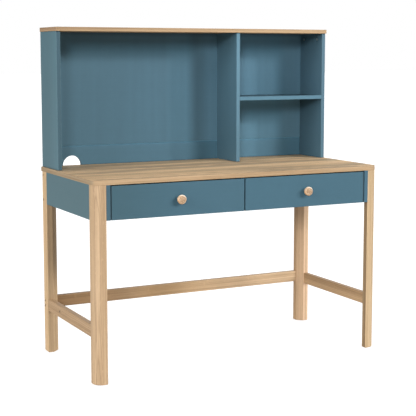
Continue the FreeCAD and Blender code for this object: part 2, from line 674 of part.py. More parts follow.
for side, s in SIDES:
    cut("side_apron_" + side,
        board("side_apron_%s_board" % side, d("apron_thick"), "%s - %s" % (LEG_R0, LEG_F1), APRON_TALL,
              span_x(s, SA_IN, SA_OUT), at_y(LEG_F1), d("apron_bottom")),
        tools["side_apron_" + side])
    cut("case_side_" + side,
        board("case_side_%s_board" % side, d("panel_thick"), "%s - %s" % (APRON_R0, LEG_F0), APRON_TALL,
              span_x(s, CASE_IN, LEG_IN), at_y(LEG_F0), d("apron_bottom")),
        tools["case_side_" + side])
    cut("side_stretcher_" + side,
        board("side_stretcher_%s_bar" % side, d("stretcher_thick"), "%s - %s" % (LEG_R0, LEG_F1), d("stretcher_tall"),
              span_x(s, SS_IN, SS_OUT), at_y(LEG_F1), d("side_stretcher_bottom"), "1.6"),
        tools["side_stretcher_" + side])

cut("back_apron",
    board("back_apron_board", "2 * %s" % LEG_IN, d("apron_thick"), APRON_TALL,
          "0 - %s" % LEG_IN, at_y(APRON_R0), d("apron_bottom")),
    tools["back_apron"])
cut("case_partition",
    board("case_partition_board", d("panel_thick"), "%s - %s - 1" % (APRON_R0, FRONT_B), APRON_TALL,
          "0 - dims.panel_thick / 2", at_y("%s + 1" % FRONT_B), d("apron_bottom")),
    tools["case_partition"])
cut("back_stretcher",
    board("back_stretcher_bar", "2 * %s" % LEG_IN, d("stretcher_thick"), d("stretcher_tall"),
          "0 - %s" % LEG_IN, at_y(BS_R0), d("back_stretcher_bottom"), "1.6"),
    tools["back_stretcher"])

# -------------------------------------------------------------------- hutch

G = "(dims.back_thick + 0.4)"          # width of the groove that holds the back panel
for side, s in SIDES:
    n = "hutch_side_" + side
    take(n, box(n + "_groove", "dims.back_groove", G, "dims.hutch_height - dims.seam_height",
                span_x(s, H_IN, "%s + dims.back_groove" % H_IN), at_y("%s - 0.2" % BACK_F),
                "dims.desk_height + dims.seam_height"))
    cut(n, board(n + "_board", d("panel_thick"), d("hutch_depth"), "dims.hutch_height - dims.panel_thick",
                 span_x(s, H_IN, H_OUT), at_y(H_F), d("desk_height")), tools[n])

cut("hutch_divider",
    board("hutch_divider_board", d("panel_thick"), "dims.hutch_depth - dims.back_recess",
          "dims.hutch_height - dims.panel_thick", d("divider_left"), at_y(H_F), d("desk_height")),
    tools["hutch_divider"])

cut("hutch_shelf",
    board("hutch_shelf_board", "%s - dims.divider_left - dims.panel_thick" % H_IN,
          "dims.hutch_depth - dims.back_recess", d("panel_thick"),
          "dims.divider_left + dims.panel_thick", at_y(H_F), "dims.shelf_top - dims.panel_thick"),
    tools["hutch_shelf"])

take("hutch_top", box("hutch_top_groove", "2 * (%s + dims.back_groove)" % H_IN, G, "dims.back_groove",
                      "0 - (%s + dims.back_groove)" % H_IN, at_y("%s - 0.2" % BACK_F), H_UNDER))
body, pad = blank("hutch_top_board", "dims.hutch_width + 2 * dims.hutch_side_over",
                  "dims.hutch_depth + dims.hutch_front_over", d("panel_thick"),
                  "0 - (%s + dims.hutch_side_over)" % H_OUT, at_y("%s - dims.hutch_front_over" % H_F), H_UNDER)
f = dress(body, pad, "Fillet", "hutch_top_corners", upright(pad, lambda *q: True), "3")
f = dress(body, f, "Fillet", "hutch_top_rims", rim(f), "1.2")
cut("hutch_top", body, tools["hutch_top"])

o = board("hutch_back_panel", "2 * (%s + 5)" % H_IN, d("back_thick"),
          "dims.hutch_height - dims.panel_thick + 5 - dims.seam_height - 0.2",
          "0 - (%s + 5)" % H_IN, at_y(BACK_F), "dims.desk_height + dims.seam_height + 0.2", "0.3")
o.Label = "hutch_back_panel"
nodes["hutch_back_panel"] = o

# the rail below the back panel: rebated for the panel, bevelled under the seam,
# notched for cables
take("hutch_back_rail",
     box("rail_rebate", "2 * %s + 2" % H_IN, G, "20", "0 - (%s + 1)" % H_IN, at_y("%s - 0.2" % BACK_F),
         "dims.desk_height + dims.seam_height"),
     bevel("rail_bevel", "2 * %s + 2" % H_IN, d("seam_bevel_deep"), d("seam_bevel_tall"),
           "0 - (%s + 1)" % H_IN, at_y(BACK_F),
           "dims.desk_height + dims.seam_height - dims.seam_bevel_tall"),
     cylinder("cable_notch", d("notch_radius"), "60", "0 - (%s - dims.notch_from_side)" % H_IN,
              at_y("%s - 20" % BACK_F), d("desk_height"), "+Y"))
cut("hutch_back_rail",
    board("hutch_back_rail_board", "2 * %s" % H_IN, d("back_recess"), d("rail_tall"),
          "0 - %s" % H_IN, at_y(BACK_F), d("desk_height")),
    tools["hutch_back_rail"])

# ------------------------------------------------------------------ drawers

BOX_W = "(%s - %s)" % (BOX_OUT, BOX_INN)
for side, s in SIDES:
    D = "drawer_%s_" % side
    # Locating dowels between the drawer's sides and its front.
    rods = []
    for where, x in (("outer", "%s - dims.box_side_thick / 2" % BOX_OUT), ("inner", "%s + dims.box_side_thick / 2" % BOX_INN)):
        for i, z in enumerate(("dims.box_bottom + 22", "dims.box_top - 22")):
            rods.append(dowel(D + "dowel_%s_%d" % (where, i + 1), "dims.small_dowel_radius", "24", at_x(s, x),
                              at_y("%s - 10" % FRONT_B), z, "+Y", D + "front", D + "side_" + where))
    group(D + "dowels", rods)
    # Screws through the sides into the ends of the back.
    made = []
    for where, x, ax in (("outer", BOX_OUT, "+X" if s < 0 else "-X"), ("inner", BOX_INN, "-X" if s < 0 else "+X")):
        for i, z in enumerate(("dims.box_bottom + 28", "dims.box_top - 18")):
            o, clear = screw(D + "screw_%s_%d" % (where, i + 1), "1.75", "32", "3.2", "2", at_x(s, x),
                             at_y("%s - dims.box_side_thick / 2" % BOX_END), z, ax)
            made.append(o)
            take(D + "side_" + where, clear)
            take(D + "back", clear)
    group(D + "screws", made)
    # Knob screw from the inside of the front.
    o, hole = pan_screw(D + "knob_screw", "2", "28", "4.5", "2.6", at_x(s, KNOB_X),
                        at_y("%s + 2.6" % FRONT_B), KNOB_Z, "-Y")
    o.Label = D + "knob_screw"
    nodes[D + "knob_screw"] = o
    take(D + "front", hole)

    # Front: laid over the partition's edge, between the case sides.
    take(D + "front", box(D + "front_groove", "%s - 2 * (dims.box_side_thick - dims.bottom_groove - 0.5)" % BOX_W,
                          "dims.bottom_groove + 2", "dims.bottom_thick + 0.4",
                          span_x(s, "%s + dims.box_side_thick - dims.bottom_groove - 0.5" % BOX_INN,
                                 "%s - dims.box_side_thick + dims.bottom_groove + 0.5" % BOX_OUT),
                          at_y("%s - dims.bottom_groove" % FRONT_B), "dims.bottom_level - 0.2"))
    cut(D + "front",
        board(D + "front_board", "%s - %s" % (FRONT_X1, FRONT_X0), d("front_thick"),
              "%s - dims.front_top_gap - dims.apron_bottom" % UNDER,
              span_x(s, FRONT_X0, FRONT_X1), at_y(d("front_inset")), d("apron_bottom"), "1.2"),
        tools[D + "front"])

    # Sides: grooved outside for the runner and inside for the bottom.
    for where in ("outer", "inner"):
        if where == "outer":
            low, high = "%s - dims.box_side_thick" % BOX_OUT, BOX_OUT
            run_low, run_high = "%s - dims.groove_deep" % BOX_OUT, "%s + 1" % BOX_OUT
            pan_low, pan_high = "%s - dims.box_side_thick - 1" % BOX_OUT, "%s - dims.box_side_thick + dims.bottom_groove + 0.3" % BOX_OUT
        else:
            low, high = BOX_INN, "%s + dims.box_side_thick" % BOX_INN
            run_low, run_high = "%s - 1" % BOX_INN, "%s + dims.groove_deep" % BOX_INN
            pan_low, pan_high = "%s + dims.box_side_thick - dims.bottom_groove - 0.3" % BOX_INN, "%s + dims.box_side_thick + 1" % BOX_INN
        n = D + "side_" + where
        take(n,
             box(n + "_run", "dims.groove_deep + 1", "dims.box_length", "dims.runner_tall + dims.groove_over + dims.groove_under",
                 span_x(s, run_low, run_high), at_y("dims.runner_start - 3"), "dims.runner_level - dims.groove_under"),
             box(n + "_pan", "dims.bottom_groove + 1.3", "dims.box_length + 2", "dims.bottom_thick + 0.4",
                 span_x(s, pan_low, pan_high), at_y("%s - 1" % FRONT_B), "dims.bottom_level - 0.2"))
        cut(n, board(n + "_board", d("box_side_thick"), d("box_length"), "dims.box_top - dims.box_bottom",
                     span_x(s, low, high), at_y(FRONT_B), d("box_bottom")), tools[n])

    cut(D + "back",
        board(D + "back_board", "%s - 2 * dims.box_side_thick" % BOX_W, d("box_side_thick"),
              "dims.box_top - dims.bottom_level - dims.bottom_thick - 0.5",
              span_x(s, "%s + dims.box_side_thick" % BOX_INN, "%s - dims.box_side_thick" % BOX_OUT),
              at_y("%s - dims.box_side_thick" % BOX_END), "dims.bottom_level + dims.bottom_thick + 0.5"),
        tools[D + "back"])

    o = board(D + "bottom", "%s - 2 * (dims.box_side_thick - dims.bottom_groove)" % BOX_W,
              "dims.box_length + dims.bottom_groove - 0.3", d("bottom_thick"),
              span_x(s, "%s + dims.box_side_thick - dims.bottom_groove" % BOX_INN,
                     "%s - dims.box_side_thick + dims.bottom_groove" % BOX_OUT),
              at_y("%s - dims.bottom_groove + 0.3" % FRONT_B), d("bottom_level"), "0.3")
    o.Label = D + "bottom"
    nodes[D + "bottom"] = o

    # Knob: turned wood, a narrow neck under a slightly domed disc.
    n = D + "knob_turning"
    body = doc.addObject("PartDesign::Body", n)
    sk = body.newObject("Sketcher::SketchObject", n + "_profile")
    sk.AttachmentSupport = (plane(body, "XZ_Plane"), [""])
    sk.MapMode = "FlatFace"
    p = [V(0, 0, 0), V(9.5, 0, 0), V(9.5, 9, 0), V(18, 13, 0), V(18, 22.6, 0)]
    g = [sk.addGeometry(Part.LineSegment(p[i], p[i + 1]), False) for i in range(4)]
    circle = Part.Circle(V(0, -45, 0), V(0, 0, 1), 70)
    first = circle.parameter(V(18, 22.646, 0))
    last = circle.parameter(V(0, 25, 0))
    arc = sk.addGeometry(Part.ArcOfCircle(circle, first, last), False)
    axis = sk.addGeometry(Part.LineSegment(V(0, 25, 0), V(0, 0, 0)), False)
    for i in range(3):
        sk.addConstraint(Sketcher.Constraint("Coincident", g[i], 2, g[i + 1], 1))
    sk.addConstraint(Sketcher.Constraint("Coincident", g[0], 1, -1, 1))
    sk.addConstraint(Sketcher.Constraint("Horizontal", g[0]))
    sk.addConstraint(Sketcher.Constraint("Vertical", g[1]))
    sk.addConstraint(Sketcher.Constraint("Vertical", g[3]))
    sk.addConstraint(Sketcher.Constraint("Coincident", g[3], 2, arc, 1))
    sk.addConstraint(Sketcher.Constraint("Coincident", arc, 2, axis, 1))
    sk.addConstraint(Sketcher.Constraint("Coincident", axis, 2, -1, 1))
    sk.addConstraint(Sketcher.Constraint("Vertical", axis))
    sk.addConstraint(Sketcher.Constraint("PointOnObject", arc, 3, -2))
    for cname, kind, args, alias in (
            ("neck", "DistanceX", (g[0], 1, g[0], 2, 9.5), "knob_neck"),
            ("neck_long", "DistanceY", (g[1], 1, g[1], 2, 9.0), "knob_neck_length"),
            ("wide", "DistanceX", (-1, 1, g[3], 1, 18.0), "knob_radius"),
            ("flare", "DistanceY", (-1, 1, g[3], 1, 13.0), "knob_flare"),
            ("tall", "DistanceY", (-1, 1, axis, 1, 25.0), "knob_length"),
            ("dome", "Radius", (arc, 70.0), "knob_dome")):
        c = sk.addConstraint(Sketcher.Constraint(kind, *args))
        sk.renameConstraint(c, cname)
        sk.setExpression("Constraints." + cname, d(alias))
    rev = body.newObject("PartDesign::Revolution", n + "_turned")
    rev.Profile = sk
    rev.ReferenceAxis = (sk, ["V_Axis"])
    rev.Angle = 360
    doc.recompute()
    f = dress(body, rev, "Fillet", n + "_front_edge", hoops(rev, 14, 24), d("knob_edge"))
    f = dress(body, f, "Fillet", n + "_rear_edge", hoops(f, 12.5, 13.5), "2.2")
    place(body, at_x(s, KNOB_X), at_y(d("front_inset")), KNOB_Z, "-Y")
    cut(D + "knob", body, [hole])

# ------------------------------------------------------------ check and write

doc.recompute()
bad = [o.Name for o in doc.Objects if "Invalid" in o.State or "Error" in o.State]
if bad:
    raise SystemExit("failed objects: %s" % ", ".join(bad))
for name, obj in nodes.items():
    shape = obj.Shape
    if shape.isNull() or not shape.isValid():
        raise SystemExit("bad shape: " + name)
    if not shape.Solids:
        raise SystemExit("no solid: " + name)
    if obj.Label != name:
        raise SystemExit("label taken: %s %s" % (name, obj.Label))

os.makedirs("parts", exist_ok=True)
low, high = [1e9] * 3, [-1e9] * 3
for name, obj in sorted(nodes.items()):
    shape = obj.Shape
    shape.exportStep("parts/%s.step" % name)
    b = shape.BoundBox
    low = [min(low[0], b.XMin), min(low[1], b.YMin), min(low[2], b.ZMin)]
    high = [max(high[0], b.XMax), max(high[1], b.YMax), max(high[2], b.ZMax)]
    print("%-26s solids %2d  volume %10.0f mm3  box %s" % (
        name, len(shape.Solids), shape.Volume,
        " ".join("%.1f" % v for v in (b.XMin, b.YMin, b.ZMin, b.XMax, b.YMax, b.ZMax))))
print("nodes", len(nodes))
print("overall", ["%.2f" % v for v in low], ["%.2f" % v for v in high])
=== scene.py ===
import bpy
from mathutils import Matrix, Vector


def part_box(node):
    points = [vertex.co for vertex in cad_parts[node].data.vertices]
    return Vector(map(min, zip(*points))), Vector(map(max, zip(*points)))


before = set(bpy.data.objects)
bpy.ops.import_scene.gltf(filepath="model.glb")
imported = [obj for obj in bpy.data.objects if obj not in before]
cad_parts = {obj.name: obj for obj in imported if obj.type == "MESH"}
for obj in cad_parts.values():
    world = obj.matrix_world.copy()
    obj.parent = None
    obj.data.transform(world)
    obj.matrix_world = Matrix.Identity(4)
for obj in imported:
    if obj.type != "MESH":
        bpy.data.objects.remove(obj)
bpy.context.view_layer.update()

import math
import random

import bpy
from mathutils import Vector


# ---------------------------------------------------------------- node helpers

class Net:
    """A material and short calls that add its nodes."""

    def __init__(self, name):
        self.material = bpy.data.materials.new(name)
        self.material.use_nodes = True
        self.tree = self.material.node_tree
        self.tree.nodes.clear()
        out = self.tree.nodes.new("ShaderNodeOutputMaterial")
        self.bsdf = self.tree.nodes.new("ShaderNodeBsdfPrincipled")
        self.tree.links.new(self.bsdf.outputs["BSDF"], out.inputs["Surface"])
        texco = self.tree.nodes.new("ShaderNodeTexCoord")
        self.place = texco.outputs["Object"]
        self.normal = texco.outputs["Normal"]

    def feed(self, socket, value):
        if isinstance(value, bpy.types.NodeSocket):
            self.tree.links.new(value, socket)
        elif value is not None:
            if hasattr(socket.default_value, "__len__") and not hasattr(value, "__len__"):
                value = [value] * len(socket.default_value)
            if hasattr(socket.default_value, "__len__") and len(socket.default_value) == 4 and len(value) == 3:
                value = (*value, 1.0)
            socket.default_value = value

    def math(self, op, a, b=None, c=None, clamp=False):
        n = self.tree.nodes.new("ShaderNodeMath")
        n.operation = op
        n.use_clamp = clamp
        for i, v in enumerate((a, b, c)):
            self.feed(n.inputs[i], v)
        return n.outputs[0]

    def vmath(self, op, a, b=None, scale=None):
        n = self.tree.nodes.new("ShaderNodeVectorMath")
        n.operation = op
        self.feed(n.inputs[0], a)
        if b is not None:
            self.feed(n.inputs[1], b)
        if scale is not None:
            self.feed(n.inputs["Scale"], scale)
        return n.outputs["Value"] if op in ("LENGTH", "DOT_PRODUCT", "DISTANCE") else n.outputs["Vector"]

    def split(self, vector):
        n = self.tree.nodes.new("ShaderNodeSeparateXYZ")
        self.feed(n.inputs[0], vector)
        return n.outputs[0], n.outputs[1], n.outputs[2]

    def join(self, x, y, z):
        n = self.tree.nodes.new("ShaderNodeCombineXYZ")
        for i, v in enumerate((x, y, z)):
            self.feed(n.inputs[i], v)
        return n.outputs[0]

    def noise(self, vector, scale, stretch=None, detail=3.0, rough=0.5, bend=0.0):
        """Noise from 0 to 1. stretch scales the axes before scale does."""
        if stretch is not None:
            vector = self.vmath("MULTIPLY", vector, stretch)
        n = self.tree.nodes.new("ShaderNodeTexNoise")
        n.noise_dimensions = "3D"
        self.feed(n.inputs["Vector"], vector)
        n.inputs["Scale"].default_value = scale
        n.inputs["Detail"].default_value = detail
        n.inputs["Roughness"].default_value = rough
        n.inputs["Distortion"].default_value = bend
        return n.outputs["Fac"]

    def cells(self, vector, scale, stretch=None, feature="F1", jitter=1.0):
        if stretch is not None:
            vector = self.vmath("MULTIPLY", vector, stretch)
        n = self.tree.nodes.new("ShaderNodeTexVoronoi")
        n.feature = feature
        self.feed(n.inputs["Vector"], vector)
        n.inputs["Scale"].default_value = scale
        n.inputs["Randomness"].default_value = jitter
        return n.outputs["Distance"]

    def ramp(self, fac, stops, smooth=False):
        """stops is [(place, colour)]; a plain number as colour gives grey."""
        n = self.tree.nodes.new("ShaderNodeValToRGB")
        n.color_ramp.interpolation = "EASE" if smooth else "LINEAR"
        els = n.color_ramp.elements
        while len(els) < len(stops):
            els.new(0.5)
        for e, (p, c) in zip(els, stops):
            e.position = p
            e.color = (c, c, c, 1) if not hasattr(c, "__len__") else (*c, 1)
        self.feed(n.inputs["Fac"], fac)
        return n.outputs["Color"]

    def rise(self, value, low, high):
        """0 below low, 1 above high, smooth between."""
        n = self.tree.nodes.new("ShaderNodeMapRange")
        n.interpolation_type = "SMOOTHSTEP"
        self.feed(n.inputs["Value"], value)
        n.inputs["From Min"].default_value = low
        n.inputs["From Max"].default_value = high
        return n.outputs["Result"]

    def span(self, value, low, high, to_low, to_high):
        n = self.tree.nodes.new("ShaderNodeMapRange")
        self.feed(n.inputs["Value"], value)
        n.inputs["From Min"].default_value = low
        n.inputs["From Max"].default_value = high
        n.inputs["To Min"].default_value = to_low
        n.inputs["To Max"].default_value = to_high
        return n.outputs["Result"]

    def mix(self, fac, a, b, blend="MIX"):
        n = self.tree.nodes.new("ShaderNodeMix")
        n.data_type = "RGBA"
        n.blend_type = blend
        n.clamp_factor = True
        self.feed(n.inputs["Factor"], fac)
        self.feed([s for s in n.inputs if s.name == "A" and s.type == "RGBA"][0], a)
        self.feed([s for s in n.inputs if s.name == "B" and s.type == "RGBA"][0], b)
        return [s for s in n.outputs if s.type == "RGBA"][0]

    def tint(self, colour, amount):
        """colour times a number that varies over the surface."""
        n = self.tree.nodes.new("ShaderNodeVectorMath")
        n.operation = "SCALE"
        self.feed(n.inputs[0], colour)
        self.feed(n.inputs["Scale"], amount)
        return n.outputs["Vector"]

    def bump(self, height, strength, distance, under=None):
        n = self.tree.nodes.new("ShaderNodeBump")
        n.inputs["Strength"].default_value = strength
        n.inputs["Distance"].default_value = distance
        self.feed(n.inputs["Height"], height)
        if under is not None:
            self.feed(n.inputs["Normal"], under)
        return n.outputs["Normal"]

    def finish(self, colour, rough, normal, **sockets):
        self.feed(self.bsdf.inputs["Base Color"], colour)
        self.feed(self.bsdf.inputs["Roughness"], rough)
        if normal is not None:
            self.feed(self.bsdf.inputs["Normal"], normal)
        for name, value in sockets.items():
            self.bsdf.inputs[name.replace("_", " ")].default_value = value
        return self.material


def dull(c, k):
    return tuple(v * k for v in c)


def painted_light_ramps(net, colour, light_ramps):
    """Painted light and shade: the tone ramps along one axis of the piece, standing in for shadows, pools of light and
    the falloff of lamps: (axis, from, to, first, last), or a list of such ramps.
    """
    if not light_ramps:
        return colour
    if isinstance(light_ramps, list):
        for one in light_ramps:
            colour = painted_light_ramps(net, colour, one)
        return colour
    axis, start, stop, first, last = light_ramps
    place = net.split(net.place)[axis]
    if hasattr(first, "__len__"):
        return net.vmath("MULTIPLY", colour, net.mix(net.span(place, start, stop, 0.0, 1.0), first, last))
    return net.tint(colour, net.span(place, start, stop, first, last))


def near_edge(net, low, high, width):
    """1 along the edges of the box low to high and 0 from width inwards. Beside an edge two of the three distances to the box's sides are small, so the middle one of the three tells how near it is."""
    x, y, z = net.split(net.place)
    gap = []
    for v, a, b in zip((x, y, z), low, high):
        gap.append(net.math("MINIMUM", net.math("ABSOLUTE", net.math("SUBTRACT", v, a)), net.math("ABSOLUTE", net.math("SUBTRACT", v, b))))
    a, b, c = gap
    middle = net.math("MAXIMUM", net.math("MINIMUM", a, b), net.math("MINIMUM", net.math("MAXIMUM", a, b), c))
    return net.math("SUBTRACT", 1.0, net.rise(middle, 0.0, width)), middle


# ---------------------------------------------------------------- timber

def timber(name, along, low, high, seed, light, mid, dark, pore, rings=0.0045, pith=(0.05, 0.035), knots=(), rough=(0.42, 0.6), pores=0.5, wear=0.5, tone=1.0, waver=0.010, streak=0.5, fleck=0.25, face_light=None, band_width=0.014, light_ramps=None, hue=None, speckle=0.0):
    """A solid piece of oiled, open-grained wood. The grain is a set of growth rings round a pith outside the piece, so that it runs right from the long sides into the end grain."""
    net = Net(name)
    rnd = random.Random(seed)
    off = [rnd.uniform(-7, 7) for _ in range(3)]
    centre = [(a + b) / 2 for a, b in zip(low, high)]
    x, y, z = net.split(net.vmath("SUBTRACT", net.place, centre))
    a, b, c = {"X": (x, y, z), "Y": (y, z, x), "Z": (z, x, y)}[along]
    own = net.vmath("ADD", net.join(a, b, c), off)
    # the stem's slow bends and the small ones that show as waver in the lines
    slow = net.span(net.noise(own, 1.0, (1.7, 5, 5), detail=1.0), 0, 1, -waver * 1.6, waver * 1.6)
    quick = net.span(net.noise(own, 1.0, (9, 55, 55), detail=2.0), 0, 1, -waver * 0.22, waver * 0.22)
    shift = net.math("ADD", slow, quick)
    lean = rnd.uniform(-0.012, 0.012)
    pb = net.math("ADD", net.math("ADD", b, pith[0]), net.math("ADD", shift, net.math("MULTIPLY", a, lean)))
    pc = net.math("ADD", net.math("ADD", c, pith[1]), net.math("MULTIPLY", shift, 0.6))
    radius = net.math("SQRT", net.math("ADD", net.math("MULTIPLY", pb, pb), net.math("MULTIPLY", pc, pc)))
    spot = None
    for k, (ka, kb, kc, kr) in enumerate(knots):
        away = net.vmath("MULTIPLY", net.vmath("SUBTRACT", net.join(a, b, c), (ka, kb, kc)), (0.55, 1.0, 1.0))
        dist = net.vmath("LENGTH", away)
        ruffle = net.span(net.noise(own, 260.0, detail=2.0), 0, 1, -kr * 0.25, kr * 0.25)
        dist = net.math("ADD", dist, ruffle)
        push = net.math("SUBTRACT", 1.0, net.rise(dist, kr * 0.4, kr * 4.5))
        radius = net.math("ADD", radius, net.math("MULTIPLY", push, kr * 1.6))
        mask = net.math("SUBTRACT", 1.0, net.rise(dist, kr * 0.55, kr * 1.25))
        spot = mask if spot is None else net.math("MAXIMUM", spot, mask)
    even = net.math("DIVIDE", radius, rings)
    # ring widths change from year to year
    even = net.math("ADD", even, net.span(net.noise(net.join(net.math("MULTIPLY", even, 0.35), 3.1, 1.7), 1.0, detail=1.0), 0, 1, -1.1, 1.1))
    phase = net.math("FRACT", even)
    late = net.ramp(phase, [(0.0, 0.75), (0.10, 1.0), (0.24, 0.25), (0.60, 0.0), (0.90, 0.30), (1.0, 0.75)])
    wide = 1.0 / band_width
    band = net.noise(own, 1.0, (0.9, wide, wide), detail=3.0, rough=0.62)
    vein = net.noise(own, 1.0, (2.2, wide * 3.1, wide * 3.1), detail=2.0, rough=0.55)
    cloud = net.noise(own, 1.0, (2.6, 7, 7), detail=2.0)
    fibre = net.noise(own, 1.0, (14, 1050, 1050), detail=2.0, rough=0.6)
    tube = net.noise(own, 1.0, (46, 1500, 1500), detail=1.0, rough=0.4)
    tube = net.math("MULTIPLY", net.rise(tube, 0.60, 0.72), net.span(late, 0, 1, 0.30, 1.0))
    colour = net.mix(net.rise(band, 0.38, 0.62), light, mid)
    colour = net.mix(net.math("MULTIPLY", net.rise(vein, 0.52, 0.70), 0.38), colour, dark)
    colour = net.mix(net.math("MULTIPLY", late, streak), colour, dark)
    colour = net.tint(colour, net.span(cloud, 0.2, 0.8, 0.955 * tone, 1.035 * tone))
    colour = net.tint(colour, net.span(fibre, 0.2, 0.8, 0.94, 1.05))
    if fleck:
        ray = net.noise(own, 1.0, (55, 210, 26), detail=1.0, rough=0.3)
        colour = net.mix(net.math("MULTIPLY", net.rise(ray, 0.66, 0.76), fleck), colour, dull(light, 1.12))
    colour = net.mix(net.math("MULTIPLY", tube, pores), colour, pore)
    if speckle:
        # the cut ends of the vessels on the turned face drink the oil unevenly
        nx, ny, nz = net.split(net.normal)
        end = net.rise(net.math("ABSOLUTE", ny), 0.90, 0.985)
        blot = net.rise(net.noise(own, 1.0, (60, 120, 120), detail=4.0, rough=0.72), 0.44, 0.55)
        blot = net.math("MULTIPLY", blot, net.span(end, 0, 1, 0.20, 1.0))
        colour = net.mix(net.math("MULTIPLY", blot, speckle), colour, dark)
        colour = net.tint(colour, net.span(end, 0, 1, 1.06, 0.88))
        # painted highlight and shade on the rim: pale at the upper right, where the light falls, deeper in tone at the
        # lower left
        rim = net.math("ADD", net.math("MULTIPLY", nx, 0.55), net.math("MULTIPLY", nz, 0.83))
        colour = net.mix(net.math("MULTIPLY", net.rise(rim, 0.22, 0.60), 0.80), colour, (0.920, 0.800, 0.640))
        colour = net.mix(net.rise(rim, -0.20, -0.60), colour, net.vmath("MULTIPLY", colour, (0.97, 0.86, 0.72)))
    if spot is not None:
        colour = net.mix(net.math("MULTIPLY", spot, 0.86), colour, dull(pore, 0.55))
    colour = painted_light_ramps(net, colour, light_ramps)
    if hue:
        colour = net.vmath("MULTIPLY", colour, hue)
    if face_light:
        # painted light and shade: each long face named here is lightened or darkened by its own factor, for how the
        # light falls on it
        nx, ny, nz = net.split(net.normal)
        for part, value in face_light.items():
            facing = {"front": net.math("MULTIPLY", ny, -1.0), "back": ny, "left": net.math("MULTIPLY", nx, -1.0), "right": nx}[part]
            if hasattr(value, "__len__"):
                colour = net.vmath("MULTIPLY", colour, net.mix(net.rise(facing, 0.72, 0.92), (1.0, 1.0, 1.0), value))
            else:
                colour = net.tint(colour, net.span(facing, 0.72, 0.92, 1.0, value))
    edge, middle = near_edge(net, low, high, 0.0038)
    rub = net.math("MULTIPLY", edge, net.rise(net.noise(own, 1.0, (18, 60, 60), detail=3.0), 0.34, 0.66))
    colour = net.mix(net.math("MULTIPLY", rub, 0.30 * wear), colour, dull(light, 1.15))
    height = net.math("SUBTRACT", net.math("MULTIPLY", fibre, 0.35), net.math("ADD", net.math("MULTIPLY", tube, 1.0), net.math("MULTIPLY", late, 0.28)))
    r = net.span(net.math("ADD", net.math("MULTIPLY", band, 0.5), net.math("MULTIPLY", fibre, 0.5)), 0.25, 0.75, rough[0], rough[1])
    r = net.math("ADD", r, net.math("MULTIPLY", tube, 0.12))
    r = net.math("SUBTRACT", r, net.math("MULTIPLY", rub, 0.06), clamp=True)
    return net.finish(colour, r, net.bump(height, 0.35, 0.00022), Specular_IOR_Level=0.42)


